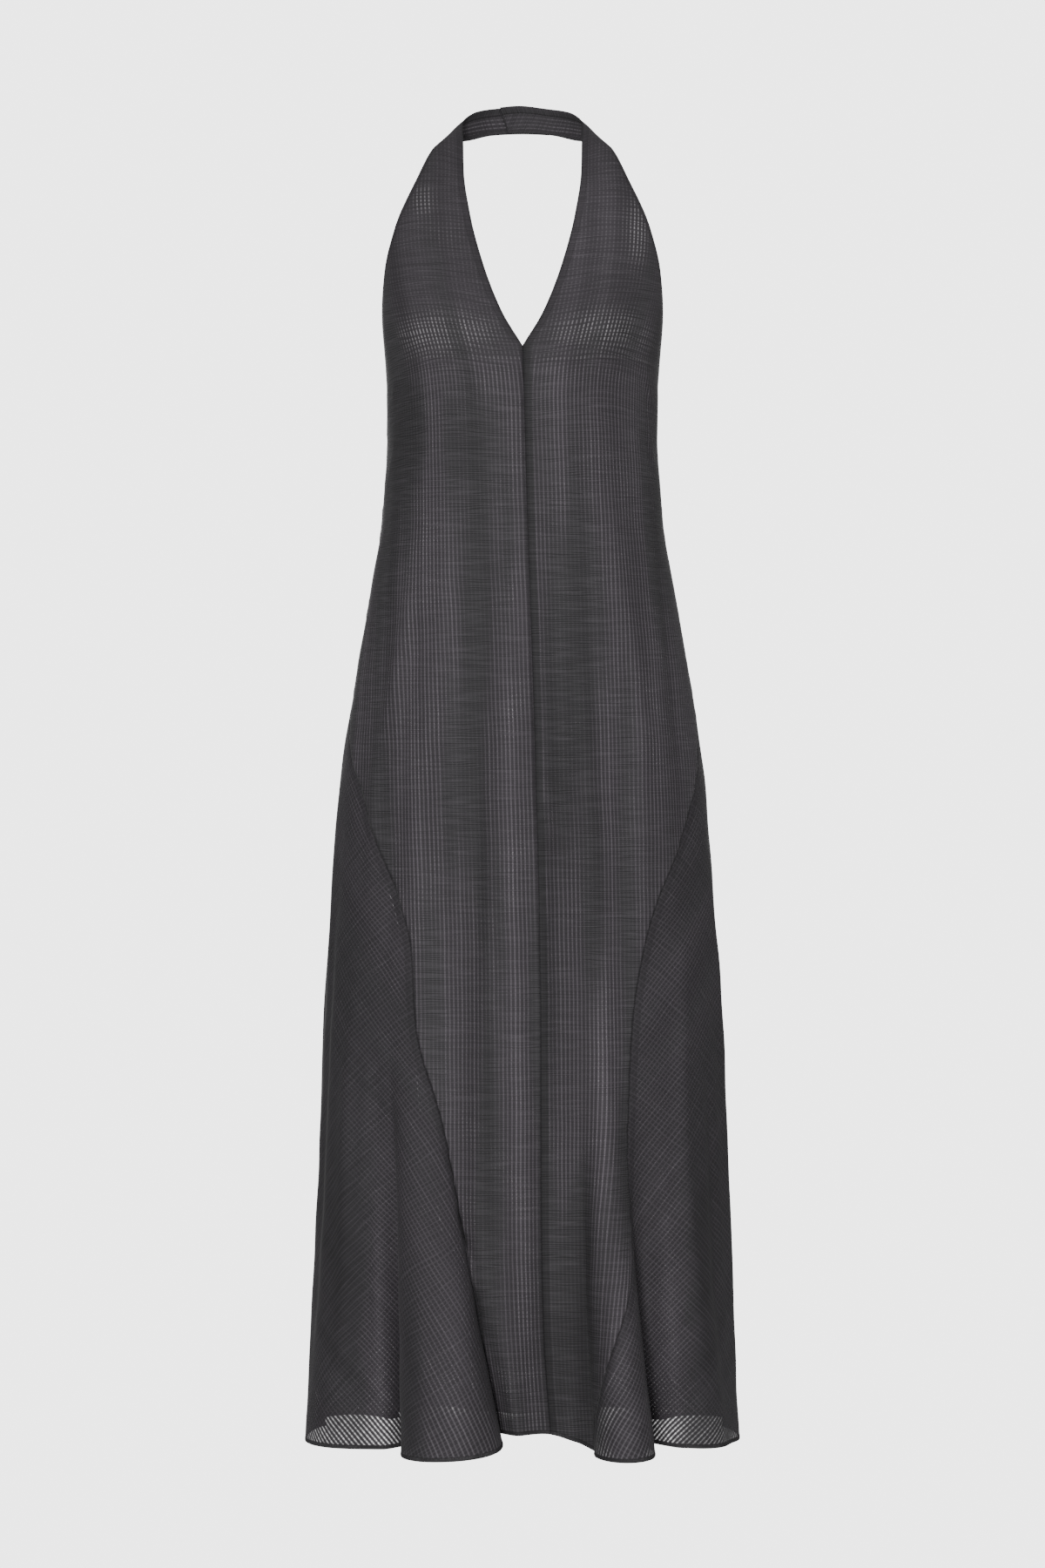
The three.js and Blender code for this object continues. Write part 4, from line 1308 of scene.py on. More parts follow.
@dataclass(frozen=True)
class WeaveFinish:
    """Semi-sheer slubbed cloth: open lines along the warp, broken by bars of weft.

    Lengths are metres. See-through shares are for the whole cloth, which light passes as two faces. A noise
    is given as its scale across the lines, its scale along them and its detail. A pair is the range over
    which a smooth step rises or falls.
    """

    name: str
    pitch: float = 0.0042
    bar_pitch: float = 0.0045
    bar_depth: float = 0.8
    ground: tuple[float, float, float] = (0.0328, 0.0294, 0.0335)
    greenish: tuple[float, float, float] = (0.0352, 0.0337, 0.0362)
    # line colour, also of the pale cross lines and slubs: the lines are the weave's own, their lighter colour
    # partly painted light shining through thin threads
    line: tuple[float, float, float] = (0.138, 0.123, 0.14)
    see_ground: float = 0.003
    see_line: float = 0.3
    line_share: float = 0.82
    cross_share: float = 0.0
    streak: float = 0.12
    thread_pitch: float = 0.0021
    thread_depth: float = 0.48
    patch_follow: float = 1.6
    fine_depth: float = 0.06
    band_depth: float = 0.14
    band: float = 0.005
    hem_band: float = 0.004
    doubled: float = 0.0
    thin_patch: float = 0.22
    roughness: float = 0.78
    specular: float = 0.22
    sheen: float = 0.03
    sheen_roughness: float = 0.45
    bump: float = 0.35
    bump_depth: float = 0.00025
    # lines along the warp and the patches where they are clear
    wander: float = 0.55
    wander_noise: tuple[float, float, float] = (7, 9, 2)
    line_side: tuple[float, float] = (0.08, 0.26)
    faintest_line: float = 0.65
    patch_noise: tuple[float, float, float] = (26, 2.6, 1)
    patch_side: tuple[float, float] = (0.25, 0.6)
    closing: float = 0.8
    closing_ends: tuple[float, float] = (0.06, 0.26)
    # bars of weft, dark threads, fine fibres, slubs and broad bands
    bar_jitter: float = 1.6
    bar_noise: tuple[float, float, float] = (14, 75, 1)
    bar_side: tuple[float, float] = (0.14, 0.27)
    cross_side: tuple[float, float] = (0.06, 0.17)
    bow: float = 2.6
    bow_noise: tuple[float, float, float] = (13, 60, 2)
    thread_side: tuple[float, float] = (0.1, 0.32)
    thread_noise: tuple[float, float, float] = (22, 330, 1)
    thread_runs: tuple[float, float] = (0.32, 0.56)
    thread_in_patch: float = 0.5
    fine_noise: tuple[float, float, float] = (34, 1300, 2)
    fine_side: tuple[float, float] = (0.3, 0.7)
    fine_gap: tuple[float, float] = (0.32, 0.68)
    slub_noise: tuple[float, float, float] = (17, 760, 1)
    slub_side: tuple[float, float] = (0.58, 0.7)
    band_noise: tuple[float, float, float] = (30, 1.8, 1)
    band_side: tuple[float, float] = (0.3, 0.7)
    # pressed seams, edges and hem, and what lying double or at a seam leaves of each effect
    seam_side: tuple[float, float] = (0.0004, 0.0014)
    edge_fade: tuple[float, float] = (0.92, 1.05)
    hem_fade: tuple[float, float] = (0.85, 1.15)
    double_line: float = 0.4
    double_through: float = 0.15
    double_shade: float = 0.87
    seam_through: float = 0.1
    seam_shade: float = 0.7
    # how much shows through
    gap_strength: tuple[float, float] = (0.5, 1.15)
    most_through: float = 0.9
    single_closing: float = 0.6
    shared_closing: float = 0.4
    # relief of lines, fibres and bars
    line_relief: float = -0.6
    fine_relief: float = 0.7
    bar_relief: float = 0.35

    def build(self) -> bpy.types.Material:
        """Builds the material from its lines, bars, threads and edges.

        All of them set the colour, how much shows through, and the bump. The look map opens the weave and
        paints light and shade on it from place to place.

        Returns:
            The finished material.
        """
        s = Shader(self.name)
        weave = s.uv("weave")
        # the look map holds how open the cloth is and its painted light and shade
        openness, painted_tone = s.uv("look")
        from_seam, single = s.uv("seams")
        patch = self.patches(s, weave, painted_tone)
        line = self.lines(s, weave, patch, openness, single)
        bar, cross = self.bars(s, weave)
        fine = s.noise(*weave, *self.fine_noise)
        closed = self.closed(s)
        seam = s.range(from_seam, *self.seam_side, 1.0, 0.0)
        line = s.product(line, s.range(closed, 0.0, 1.0, 1.0, self.double_line))

        gap = s.product(s.rest(s.product(bar, self.bar_depth)),
                        s.range(fine, *self.fine_gap, *self.gap_strength))
        through = s.math("ADD", s.product(line, gap, self.see_line), s.product(fine, 2 * self.see_ground))
        through = s.product(through, s.range(closed, 0.0, 1.0, 1.0, self.double_through), openness,
                            s.range(seam, 0.0, 1.0, 1.0, self.seam_through))
        face = s.rest(s.math("SQRT", s.math("MINIMUM", through, self.most_through)))

        bar_shade = s.math("ADD", s.product(single, self.single_closing),
                           self.shared_closing * self.bar_depth)
        shown = s.math("MAXIMUM", s.product(line, s.rest(s.product(bar, bar_shade))), cross)
        colour = s.blend(patch, self.greenish, self.ground)
        # the lines' lighter colour is partly painted light, for light shining through their thin threads
        colour = s.blend(s.product(shown, self.line_share), colour, self.line)
        slub = s.range(s.noise(*weave, *self.slub_noise), *self.slub_side)
        colour = s.blend(s.product(slub, self.streak), colour, self.line)
        bands = s.noise(*weave, *self.band_noise)
        shade = s.rest(s.product(self.threads(s, weave, patch), self.thread_depth))
        # shade multiplies in fibres, bands, doubled and seamed parts, and the painted light and shade of the
        # look map
        shade = s.product(
            shade,
            s.range(fine, *self.fine_side, 1 - self.fine_depth, 1 + self.fine_depth),
            s.range(bands, *self.band_side, 1 - self.band_depth, 1 + self.band_depth),
            s.range(closed, 0.0, 1.0, 1.0, self.double_shade),
            s.range(seam, 0.0, 1.0, 1.0, self.seam_shade),
            painted_tone,
        )
        dim = s.node("ShaderNodeVectorMath", {0: colour, "Scale": shade}, operation="SCALE").outputs[0]

        height = s.math("ADD", s.product(line, self.line_relief), s.product(fine, self.fine_relief))
        height = s.math("ADD", height, s.product(bar, self.bar_relief))
        bump = s.node("ShaderNodeBump", {
            "Strength": self.bump, "Distance": self.bump_depth, "Height": height})
        return s.finish({
            "Base Color": dim, "Roughness": self.roughness, "Specular IOR Level": self.specular,
            "Sheen Weight": self.sheen, "Sheen Roughness": self.sheen_roughness,
            "Alpha": face, "Normal": bump.outputs[0]})

    def patches(self, s: Shader, weave: tuple, painted_tone: object) -> bpy.types.NodeSocket:
        """Long patches where the lines are clear: stretched noise, which the look map's painted light raises.
        """
        lit = s.product(s.math("SUBTRACT", painted_tone, 1.0), self.patch_follow)
        return s.range(s.math("ADD", s.noise(*weave, *self.patch_noise), lit), *self.patch_side)

    def lines(self, s: Shader, weave: tuple, patch: object, openness: object,
              single: object) -> bpy.types.NodeSocket:
        """Open lines along the warp: a smooth band round the middle of each step, which noise makes wander.

        Each line has its own strength. Lines are fainter between the patches, and where a single layer lies
        closed.

        Args:
            s: the material's node tree.
            weave: both coordinates of the weave map.
            patch: where lines are clear.
            openness: how open the cloth is.
            single: where one layer is alone.

        Returns:
            Strength of the line at each place.
        """
        wander = s.product(s.math("SUBTRACT", s.noise(*weave, *self.wander_noise), 0.5), self.wander)
        warp = s.math("ADD", s.math("DIVIDE", weave[0], self.pitch), wander)
        line = s.range(s.off_middle(warp), *self.line_side, 1.0, 0.0)
        own = s.node("ShaderNodeTexWhiteNoise", {"W": s.math("FLOOR", warp)}, noise_dimensions="1D")
        own = s.range(own.outputs["Value"], 0.0, 1.0, self.faintest_line, 1.0)
        faint = s.product(single, s.range(openness, *self.closing_ends, self.closing, 0.0))
        return s.product(line, own, s.range(patch, 0.0, 1.0, self.thin_patch, 1.0), s.rest(faint))

    def bars(self, s: Shader, weave: tuple) -> tuple[bpy.types.NodeSocket, bpy.types.NodeSocket]:
        """Bars of weft at uneven steps, and the pale lines between them that the bias cut shows.

        Args:
            s: the material's node tree.
            weave: both coordinates of the weave map.

        Returns:
            Strength of the bar, and of the pale line.
        """
        noise = s.math("SUBTRACT", s.noise(*weave, *self.bar_noise), 0.5)
        weft = s.math("ADD", s.math("DIVIDE", weave[1], self.bar_pitch), s.product(noise, self.bar_jitter))
        off_bar = s.off_middle(weft)
        cross = s.range(s.math("SUBTRACT", 0.5, off_bar), *self.cross_side, self.cross_share, 0.0)
        return s.range(off_bar, *self.bar_side, 1.0, 0.0), cross

    def threads(self, s: Shader, weave: tuple, patch: object) -> bpy.types.NodeSocket:
        """Dark weft threads that bow and stop, at half strength where the lines are clear.

        Args:
            s: the material's node tree.
            weave: both coordinates of the weave map.
            patch: where lines are clear.

        Returns:
            Strength of the thread.
        """
        bow = s.product(s.noise(*weave, *self.bow_noise), self.bow)
        thread = s.off_middle(s.math("ADD", s.math("DIVIDE", weave[1], self.thread_pitch), bow))
        return s.product(
            s.range(thread, *self.thread_side, 1.0, 0.0),
            s.range(s.noise(*weave, *self.thread_noise), *self.thread_runs),
            s.range(patch, 0.0, 1.0, 1.0, self.thread_in_patch),
        )

    def closed(self, s: Shader) -> bpy.types.NodeSocket:
        """Where the cloth lies double: within a band of a finished edge or the hem, or all over."""
        edge, hem = s.uv("edges")
        at_edge = s.range(edge, *(self.band * share for share in self.edge_fade), 1.0, 0.0)
        at_hem = s.range(hem, *(self.hem_band * share for share in self.hem_fade), 1.0, 0.0)
        return s.math("MAXIMUM", s.math("MAXIMUM", at_edge, at_hem), self.doubled)


@dataclass(frozen=True)
class EdgeFinish:
    """Turned edges, rolled hems and thread: closed dark cloth with a fine rib."""

    name: str
    colour: tuple[float, float, float] = (0.02, 0.019, 0.0205)
    ridge_colour: tuple[float, float, float] = (0.045, 0.043, 0.046)
    rib_noise: tuple[float, float, float] = (300, 1400, 1)
    patch_noise: tuple[float, float, float] = (200, 35, 2)
    ridge_side: tuple[float, float] = (0.18, 0.42)
    roughness: float = 0.8
    specular: float = 0.2
    bump: float = 0.3
    bump_depth: float = 0.0002

    def build(self) -> bpy.types.Material:
        """Builds the material: noise along the edge mixes two darks and gives the rib its bump."""
        s = Shader(self.name)
        weave = s.uv("weave")
        rib = s.noise(*weave, *self.rib_noise)
        patch = s.noise(*weave, *self.patch_noise)
        # the colour is lighter where the rib noise stands high and the patch noise is strong
        colour = s.blend(s.range(s.product(rib, patch), *self.ridge_side), self.colour, self.ridge_colour)
        bump = s.node("ShaderNodeBump", {"Strength": self.bump, "Distance": self.bump_depth, "Height": rib})
        return s.finish({
            "Base Color": colour, "Roughness": self.roughness, "Specular IOR Level": self.specular,
            "Normal": bump.outputs[0]})


@dataclass(frozen=True)
class ButtonFinish:
    """Dark pressed button with a soft polish and faint clouding."""

    name: str
    colour: tuple[float, float, float] = (0.014, 0.0135, 0.0145)
    cloud: tuple[float, float, float] = (0.034, 0.033, 0.035)
    cloud_scale: float = 420.0
    cloud_detail: float = 3.0
    cloud_side: tuple[float, float] = (0.4, 0.7)
    fine_scale: float = 2600.0
    fine_side: tuple[float, float] = (0.3, 0.7)
    smoothest: float = 0.26
    roughest: float = 0.4
    specular: float = 0.45
    bump: float = 0.08
    bump_depth: float = 0.0001

    def build(self) -> bpy.types.Material:
        """Builds the material: object noise clouds the colour and breaks the polish a little."""
        s = Shader(self.name)
        place = s.node("ShaderNodeTexCoord").outputs["Object"]
        cloud = s.node("ShaderNodeTexNoise", {
            "Vector": place, "Scale": self.cloud_scale, "Detail": self.cloud_detail}).outputs[0]
        fine = s.node("ShaderNodeTexNoise", {
            "Vector": place, "Scale": self.fine_scale, "Detail": 1.0}).outputs[0]
        colour = s.blend(s.range(cloud, *self.cloud_side), self.colour, self.cloud)
        rough = s.range(fine, *self.fine_side, self.smoothest, self.roughest)
        bump = s.node("ShaderNodeBump", {"Strength": self.bump, "Distance": self.bump_depth, "Height": fine})
        return s.finish({
            "Base Color": colour, "Roughness": rough, "Specular IOR Level": self.specular,
            "Normal": bump.outputs[0]})


class Wardrobe:
    """The finishes of the dress, each built once."""

    def __init__(self) -> None:
        """Builds every finish."""
        self.straight = WeaveFinish("straight_cloth").build()
        self.bias = WeaveFinish("bias_cloth", ground=(0.025, 0.0224, 0.0257), greenish=(0.025, 0.0237, 0.026),
                                bar_depth=0.55, see_line=0.25, thin_patch=0.7, line_share=0.42,
                                cross_share=0.34, fine_depth=0.04, thread_depth=0.25, streak=0.05,
                                band_depth=0.08).build()
        self.doubled = WeaveFinish("doubled_cloth", doubled=0.85, see_line=0.1).build()
        self.edge = EdgeFinish("turned_edge").build()
        self.thread = EdgeFinish("thread", colour=(0.016, 0.015, 0.0165), ridge_colour=(0.05, 0.048, 0.051)).build()
        self.button = ButtonFinish("button").build()


def dress(obj: bpy.types.Object, material: bpy.types.Material) -> bpy.types.Object:
    """Gives a piece its material and rides it on the body."""
    obj.data.materials.append(material)
    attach(obj, BODY)
    return obj


def oval(half_height: float, half_width: float, middle: tuple[float, float], corners: int) -> np.ndarray:
    """Closed oval section of a turned edge, whose sides are a little flattened.

    Args:
        half_height: half its size along the surface normal.
        half_width: half its size across the edge.
        middle: its middle.
        corners: number of points.

    Returns:
        The section's points, in millimetres.
    """
    angle = np.arange(corners) * 2 * np.pi / corners
    flat = 0.8
    x = np.sign(np.cos(angle)) * np.abs(np.cos(angle)) ** flat * half_height + middle[0]
    y = np.sign(np.sin(angle)) * np.abs(np.sin(angle)) ** flat * half_width + middle[1]
    return np.stack([x, y], axis=-1)


@dataclass
class Panels:
    """The five panels with their rolled hems, allowances and stitches."""

    cutter: Cutter
    mesher: Mesher
    wardrobe: Wardrobe
    thickness: float = 0.45
    hem_height: float = 3.8
    hem_bulge: float = 1.5
    hem_inset: float = 0.35
    hem_fall: float = 0.5
    hem_corners: int = 12
    stitch_below: float = 0.2
    stitch_off: float = 0.12
    stitch: Stitch = Stitch(pitch=3.0, length=2.3, girth=0.34)
    allowance: float = 8.0
    allowance_inset: float = 0.9
    allowance_rails: int = 4
    allowance_thinness: float = 0.8
    allowance_lean: float = 0.37
    rows_below_godets: int = 4

    def hem(self, name: str, cloth: Cloth) -> list[bpy.types.Object]:
        """Rolled hem of a panel and its row of stitches.

        Args:
            name: the panel's name.
            cloth: the panel's cloth.

        Returns:
            The roll and the row of stitches.
        """
        path, normals = cloth.points[0], cloth.normals[0]
        up = unit(cloth.points[3] - cloth.points[0])
        section = oval(self.hem_bulge / 2, self.hem_height / 2,
                       (-self.hem_inset, self.hem_height / 2 - self.hem_fall), self.hem_corners)
        roll = self.mesher.tube(f"hem_{name}", path, normals, up, section)
        dress(roll, self.wardrobe.edge)
        line = path + up * (self.hem_height - self.stitch_below) + normals * self.stitch_off
        row = self.mesher.stitches(f"hem_stitches_{name}", line, normals, self.stitch)
        dress(row, self.wardrobe.thread)
        return [roll, row]

    def allowance_strip(self, name: str, panel: Cloth, from_start: bool, rows: slice) -> bpy.types.Object:
        """Seam allowance inside a panel: a narrow strip of the same cloth pressed flat behind its edge.

        Args:
            name: the object's name.
            panel: the panel's cloth.
            from_start: whether the seam is at the first column.
            rows: rows that the strip runs along.

        Returns:
            The new object.
        """
        ways = np.linspace(FIRST_RAIL, self.allowance, self.allowance_rails)
        rails = [panel.rail(way, from_start, rows) for way in ways]
        if not from_start:
            rails = rails[::-1]
        points = np.stack([p - n * self.allowance_inset for p, n in rails], axis=1)
        u = np.broadcast_to(np.linspace(0, self.allowance, self.allowance_rails)[None, :], points.shape[:2])
        v = running_length(points, 0)
        cloth = Cloth.plain(points, np.stack([v * self.allowance_lean + u, v], axis=-1))
        strip = self.mesher.shell(name, cloth, self.thickness * self.allowance_thinness)
        return dress(strip, self.wardrobe.doubled)

    def build(self) -> dict[str, Cloth]:
        """Builds every panel with its hem, allowances and stitches, and logs its area and size.

        Returns:
            The cloth of each panel by its node's name.
        """
        cutter = self.cutter
        skirt = slice(0, cutter.skirt_rows)
        body = slice(0, cutter.skirt_rows + cutter.bodice_rows)
        bodice = slice(cutter.skirt_rows - self.rows_below_godets, cutter.skirt_rows + cutter.bodice_rows)
        cloths = {
            "front_left": cutter.front(Side.LEFT),
            "front_right": cutter.front(Side.RIGHT),
            "back": cutter.back(),
            "godet_left": cutter.godet(Side.LEFT),
            "godet_right": cutter.godet(Side.RIGHT),
        }
        allowances = {
            "front_right": [("allowance_centre", True, body)],
            "back": [("allowance_side_right", True, bodice), ("allowance_side_left", False, bodice)],
            "godet_left": [("allowance_godet_left_back", True, skirt),
                           ("allowance_godet_left_front", False, skirt)],
            "godet_right": [("allowance_godet_right_front", True, skirt),
                            ("allowance_godet_right_back", False, skirt)],
            "front_left": [],
        }
        for name, cloth in cloths.items():
            panel = self.mesher.shell(f"cloth_{name}", cloth, self.thickness)
            if name.startswith("godet"):
                dress(panel, self.wardrobe.bias)
            else:
                dress(panel, self.wardrobe.straight)
            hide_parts(name)
            extras = self.hem(name, cloth)
            extras += [self.allowance_strip(label, cloth, start, rows)
                       for label, start, rows in allowances[name]]
            width = running_length(cloth.points, 1)[:, -1].max() * MM
            length = running_length(cloth.points, 0)[-1].max() * MM
            LOG.info("%s: area %.4f m2, widest %.3f, longest %.3f", name, cloth.area(), width, length)
            cloth.area()
        return cloths


@dataclass
class Edges:
    """The strips inside the neckline, armholes and back, with their turned edges and stitches."""

    cutter: Cutter
    mesher: Mesher
    wardrobe: Wardrobe
    inset: float = 0.75
    thickness: float = 0.4
    rails: int = 5
    back_strip: float = 6.0
    turn: float = 6.0
    fold_half: tuple[float, float] = (0.68, 0.75)
    fold_middle: tuple[float, float] = (-0.45, 0.42)
    fold_corners: int = 8
    stitch: Stitch = Stitch(pitch=2.6, length=1.9, girth=0.3, lift=0.03)
    stitch_inside: float = 0.8

    def strip(self, node: str, points: np.ndarray, weave: np.ndarray) -> bpy.types.Object:
        """A strip of doubled cloth in its node's place."""
        obj = self.mesher.shell(f"cloth_{node}", Cloth.plain(points, weave), self.thickness)
        dress(obj, self.wardrobe.doubled)
        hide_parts(node)
        return obj

    def fold(self, name: str, path: np.ndarray, normals: np.ndarray,
             towards: np.ndarray) -> bpy.types.Object:
        """The fold of a finished edge: a thin closed roll along it, towards the cloth's inside."""
        section = oval(*self.fold_half, self.fold_middle, self.fold_corners)
        roll = self.mesher.tube(name, path, normals, towards, section)
        return dress(roll, self.wardrobe.edge)

    def sewing(self, name: str, path: np.ndarray, normals: np.ndarray) -> bpy.types.Object:
        """The row of stitches that holds a strip."""
        row = self.mesher.stitches(name, path, normals, self.stitch)
        return dress(row, self.wardrobe.thread)

    def strap_edge(self, side: Side, cloth: Cloth, edge: str, width: float) -> None:
        """One long edge of a strap: its strip, its fold and its stitches.

        Args:
            side: the strap's side.
            cloth: the front that the strap belongs to.
            edge: neck or armhole.
            width: how wide the strip shows, in millimetres.
        """
        rows = slice(self.cutter.skirt_rows + self.cutter.bodice_rows, None)
        first = (edge == "neck") == (side is Side.RIGHT)
        rails = [cloth.rail(way, first, rows) for way in np.linspace(FIRST_RAIL, width, self.rails)]
        ordered = rails if first else rails[::-1]
        points = np.stack([p - n * self.inset for p, n in ordered], axis=1)
        u = np.broadcast_to(np.linspace(0, width, self.rails)[None, :], points.shape[:2])
        weave = np.stack([u, running_length(points, 0)], axis=-1)
        strip = self.strip(f"{edge}_strip_{side.word}", points, weave)
        path, normals = rails[0]
        roll = self.fold(f"{edge}_edge_{side.word}", path, normals, unit(rails[-1][0] - path))
        line, line_normals = cloth.rail(width - self.stitch_inside, first, rows)
        row = self.sewing(f"{edge}_stitches_{side.word}", line, line_normals)

    def back_edge(self, back: Cloth) -> None:
        """The back's top edge: its strip, its fold and its stitches."""
        top, normals = back.points[-1], back.normals[-1]
        below = unit(back.points[-2] - back.points[-1])
        ways = np.linspace(self.back_strip, FIRST_RAIL, self.rails)
        points = np.stack([top + below * way - normals * self.inset for way in ways], axis=0)
        u = running_length(points, 1)
        v = np.broadcast_to(np.linspace(0, self.back_strip, self.rails)[:, None], u.shape)
        strip = self.strip("back_strip", points, np.stack([v, u], axis=-1))
        roll = self.fold("back_edge", top, normals, below)
        row = self.sewing("back_stitches", top + below * (self.back_strip - self.stitch_inside), normals)

    def build(self, cloths: dict[str, Cloth]) -> None:
        """Builds the edges of both straps, their ends at the nape and the back's edge."""
        for side in Side:
            cloth = cloths[f"front_{side.word}"]
            self.strap_edge(side, cloth, "neck", self.cutter.neck_strip)
            self.strap_edge(side, cloth, "armhole", self.cutter.arm_strip)
            self.fold(f"strap_end_{side.word}", cloth.points[-1], cloth.normals[-1],
                      unit(cloth.points[-3] - cloth.points[-1]))
        self.back_edge(cloths["back"])


@dataclass
class NapeButton:
    """The button on the outer face of the lap, sewn through four holes, with its buttonhole."""

    form: DressForm
    mesher: Mesher
    wardrobe: Wardrobe
    radius: float = 5.5
    thickness: float = 2.4
    rim: float = 0.9
    dish: float = 0.5
    dish_side: tuple[float, float] = (2.2, 1.1)
    rings: int = 33
    ring_crowding: float = 0.9
    corners: int = 72
    under: tuple[tuple[float, float], ...] = (
        (1.0, 0.8), (0.985, 0.4), (0.93, 0.12), (0.8, 0.0), (0.4, 0.0))
    hole_radius: float = 0.62
    hole_side: tuple[float, float] = (0.7, 1.15)
    hole_offset: float = 1.25
    hole_depth: float = 1.1
    gap: float = 0.3
    thread_lift: float = 0.12
    thread_apart: float = 0.14
    thread_overrun: float = 0.9
    thread_girth: float = 0.42
    slot_half: float = 8.2
    slot_width: float = 1.2
    slot_stitches: int = 120
    slot_stitch: Stitch = Stitch(pitch=0.3, length=1.3, girth=0.36, lift=0.14)
    slot_squareness: float = 0.5
    slot_fan: float = 0.02
    slit_points: int = 24
    slit_half: tuple[float, float] = (0.12, 0.35)
    slit_lift: float = 0.05
    slit_corners: int = 8

    def __post_init__(self) -> None:
        """Finds the seat on the lap, and the ways along the band, across it and outward."""
        run, middle = np.array([self.form.nape_run]), np.array([0.5])
        point = self.form.strap_point(Side.LEFT, middle, run)[0]
        self.outward = self.form.strap_normal(Side.LEFT, middle, run)[0]
        self.seat = point + self.outward * self.form.lap(Side.LEFT, run)[0]
        ahead = self.form.strap_point(Side.LEFT, middle, run + 1)[0] - point
        self.along = unit(ahead - self.outward * (ahead @ self.outward))
        self.across = np.cross(self.outward, self.along)

    def place(self, x: np.ndarray, y: np.ndarray, z: np.ndarray) -> np.ndarray:
        """Points on the seat: x along the band, y across it and z away from it, in millimetres."""
        flat = self.seat + x[..., None] * self.along + y[..., None] * self.across
        return flat + z[..., None] * self.outward

    def height(self, x: np.ndarray, y: np.ndarray) -> np.ndarray:
        """Height of the button's face: a dish inside a round rim, with four pits for the thread."""
        r = np.hypot(x, y)
        start, end = self.dish_side
        dish = self.dish * (1 - ease(self.radius - start, self.radius - end, r))
        fall = self.rim * ease(self.radius - self.rim, self.radius, r) ** 2
        face = self.thickness - dish - fall
        for sx in (-1, 1):
            for sy in (-1, 1):
                away = np.hypot(x - sx * self.hole_offset, y - sy * self.hole_offset)
                start, end = self.hole_side
                pit = 1 - ease(self.hole_radius * start, self.hole_radius * end, away)
                face = face - self.hole_depth * pit
        return face

    def button(self) -> None:
        """The button: rings of its face from the middle out, and of its rounded underside back in."""
        radii = self.radius * np.linspace(0, 1, self.rings + 1)[1:] ** self.ring_crowding
        angle = np.arange(self.corners) * 2 * np.pi / self.corners
        x, y = radii[:, None] * np.cos(angle), radii[:, None] * np.sin(angle)
        top = self.place(x, y, self.gap + self.height(x, y))
        under_radii, under_height = np.array(self.under).T[:, :, None]
        under_radii = self.radius * under_radii
        bottom = self.place(under_radii * np.cos(angle), under_radii * np.sin(angle), under_height + self.gap)
        rings = np.concatenate([top, bottom])
        zero = np.zeros(1)
        ends = np.concatenate([self.place(zero, zero, self.gap + self.height(zero, zero)),
                               self.place(zero, zero, zero + self.gap)])
        button = self.mesher.capped("button", rings, ends, np.zeros(rings.shape[:2] + (2,)))
        dress(button, self.wardrobe.button)
        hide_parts("nape_button")

    def thread(self) -> None:
        """Two pairs of threads on the button, each from hole to hole along the band."""
        y = np.array([-1, 1, -1, 1]) * self.hole_offset + np.array([-1, -1, 1, 1]) * self.thread_apart
        lift = self.gap + self.thickness - self.dish + self.thread_lift
        spots = self.place(np.zeros_like(y), y, np.full_like(y, lift))
        thread = self.mesher.spindles("button_thread", spots, np.tile(self.along, (len(y), 1)),
                                      np.tile(self.outward, (len(y), 1)),
                                      2 * self.hole_offset + self.thread_overrun, self.thread_girth)
        dress(thread, self.wardrobe.thread)

    def buttonhole(self) -> None:
        """The buttonhole: stitches round a long oval with squared ends, and the slit in its middle."""
        turn = np.linspace(0, 2 * np.pi, self.slot_stitches, endpoint=False)
        x = self.slot_half * np.sign(np.cos(turn)) * np.abs(np.cos(turn)) ** self.slot_squareness
        y = self.slot_width * np.sign(np.sin(turn)) * np.abs(np.sin(turn)) ** self.slot_squareness
        spots = self.place(x, y, np.full_like(x, self.slot_stitch.lift))
        away = unit(self.place(x * self.slot_fan, y, np.zeros_like(x)) - self.seat)
        stitches = self.mesher.spindles("buttonhole_stitches", spots, away,
                                        np.tile(self.outward, (len(x), 1)),
                                        self.slot_stitch.length, self.slot_stitch.girth)
        dress(stitches, self.wardrobe.thread)
        slit_x = np.linspace(-1, 1, self.slit_points) * self.slot_half
        path = self.place(slit_x, np.zeros_like(slit_x), np.full_like(slit_x, self.slit_lift))
        section = oval(*self.slit_half, (0.0, 0.0), self.slit_corners)
        normals = np.tile(self.outward, (len(path), 1))
        slit = self.mesher.tube("buttonhole", path, normals, self.across, section)
        dress(slit, self.wardrobe.thread)

    def build(self) -> None:
        """Builds the button, its thread and the buttonhole."""
        self.button()
        self.thread()
        self.buttonhole()


@dataclass(frozen=True)
class Lamp:
    """A large soft lamp that points from its place at its aim. Metres and watts."""

    name: str
    place: tuple[float, float, float]
    aim: tuple[float, float, float]
    size: float
    power: float

    def build(self) -> None:
        """Builds the lamp: its tilt from upright and its turn follow from the way back from the aim."""
        data = bpy.data.lights.new(self.name, "AREA")
        data.shape = "DISK"
        data.size = self.size
        data.energy = self.power
        obj = bpy.data.objects.new(self.name, data)
        bpy.context.scene.collection.objects.link(obj)
        obj.location = self.place
        x, y, z = np.array(self.place) - np.array(self.aim)
        obj.rotation_euler = (math.atan2(math.hypot(x, y), z), 0.0, math.atan2(y, x) + math.pi / 2)


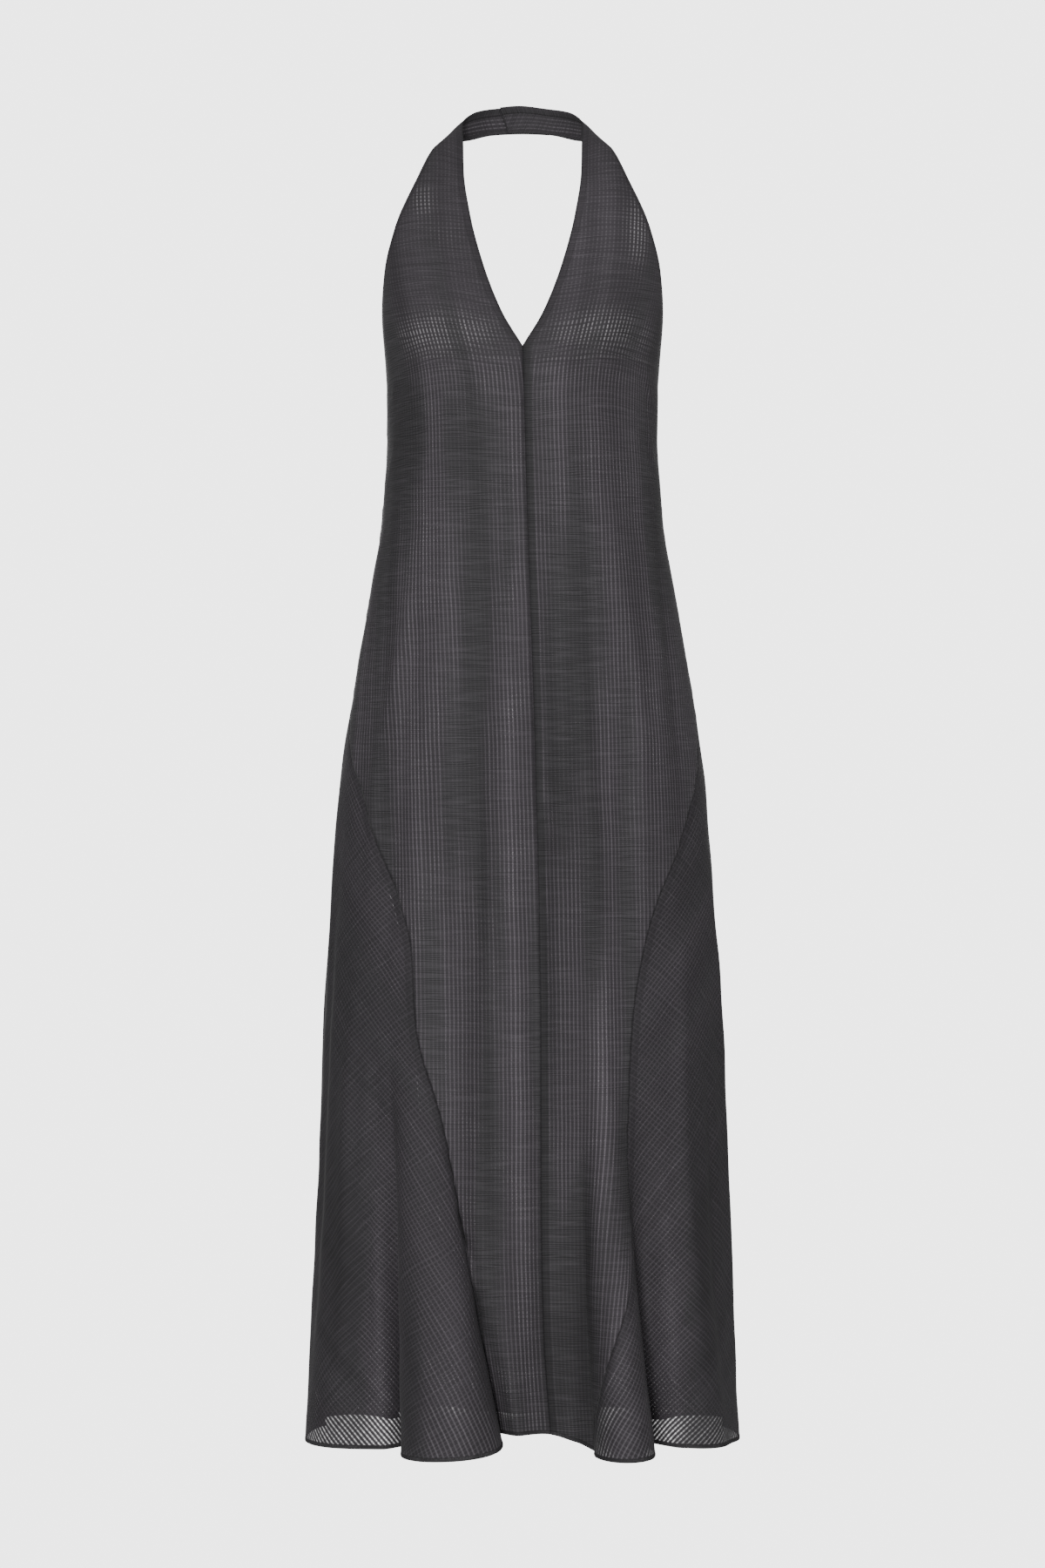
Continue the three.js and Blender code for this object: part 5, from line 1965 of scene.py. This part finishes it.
@dataclass(frozen=True)
class Studio:
    """Plain pale studio: floor, even surround, soft lamps and the camera. Metres."""

    floor_height: float = -1.53
    floor_half: float = 40.0
    seen_grey: float = 3.66
    given_grey: float = 0.42
    camera_y: float = -3.96326
    camera_z: float = -0.697
    lens: float = 86.6667
    sensor: float = 36.0
    far_end: float = 200.0
    lamps: tuple[Lamp, ...] = (
        Lamp("key", (-0.8, -4.6, 0.1), (0.0, -0.06, -0.8), 1.2, 200),
        Lamp("fill", (2.4, -3.4, -0.3), (0.0, -0.06, -0.7), 2.2, 26),
        Lamp("back_left", (-0.7, 4.2, 0.4), (0.0, -0.06, -0.7), 1.6, 120),
        Lamp("back_right", (0.9, 4.0, 0.0), (0.0, -0.06, -0.7), 1.8, 40),
    )

    def pale_light(self, tree: bpy.types.NodeTree, emitter: bpy.types.Node) -> None:
        """Feeds an emitter its pale grey where it is seen, and a softer one where it lights the dress."""
        path = tree.nodes.new("ShaderNodeLightPath")
        strength = tree.nodes.new("ShaderNodeMapRange")
        strength.inputs["To Min"].default_value = self.given_grey
        strength.inputs["To Max"].default_value = self.seen_grey
        tree.links.new(path.outputs["Is Camera Ray"], strength.inputs["Value"])
        tree.links.new(strength.outputs["Result"], emitter.inputs["Strength"])
        emitter.inputs["Color"].default_value = (1.0, 1.0, 1.0, 1.0)

    def glow(self, name: str) -> bpy.types.Material:
        """An even pale surface that gives off the same light as the surround."""
        s = Shader(name)
        light = s.node("ShaderNodeEmission")
        self.pale_light(s.tree, light)
        s.tree.links.new(light.outputs[0], s.output.inputs[0])
        return s.material

    def floor(self) -> None:
        """The floor, below the view."""
        mesh = bpy.data.meshes.new("floor")
        h, z = self.floor_half, self.floor_height
        mesh.from_pydata([(-h, -h, z), (h, -h, z), (h, h, z), (-h, h, z)], [], [(0, 1, 2, 3)])
        floor = bpy.data.objects.new("floor", mesh)
        bpy.context.scene.collection.objects.link(floor)
        mesh.materials.append(self.glow("pale_floor"))

    def camera(self) -> None:
        """The camera, level in front of the dress."""
        camera = bpy.data.cameras.new("camera")
        camera.sensor_fit = "VERTICAL"
        camera.sensor_height = self.sensor
        camera.lens = self.lens
        camera.clip_end = self.far_end
        obj = bpy.data.objects.new("camera", camera)
        bpy.context.scene.collection.objects.link(obj)
        obj.location = (0.0, self.camera_y, self.camera_z)
        obj.rotation_euler = (math.pi / 2, 0.0, 0.0)
        bpy.context.scene.camera = obj

    def build(self) -> None:
        """Builds the surround, the floor, the lamps and the camera."""
        world = bpy.data.worlds.new("surround")
        world.use_nodes = True
        self.pale_light(world.node_tree, world.node_tree.nodes["Background"])
        bpy.context.scene.world = world
        self.floor()
        for lamp in self.lamps:
            lamp.build()
        self.camera()


def main() -> None:
    logging.basicConfig(level=logging.INFO, format="%(message)s")
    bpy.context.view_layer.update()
    form = DressForm()
    cutter = Cutter(form)
    mesher = Mesher(form.origin())
    wardrobe = Wardrobe()
    Studio().build()
    LOG.info("studio built")
    cloths = Panels(cutter, mesher, wardrobe).build()
    LOG.info("panels built")
    Edges(cutter, mesher, wardrobe).build(cloths)
    LOG.info("edges built")
    NapeButton(form, mesher, wardrobe).build()
    LOG.info("button built")


if __name__ == "__main__":
    main()
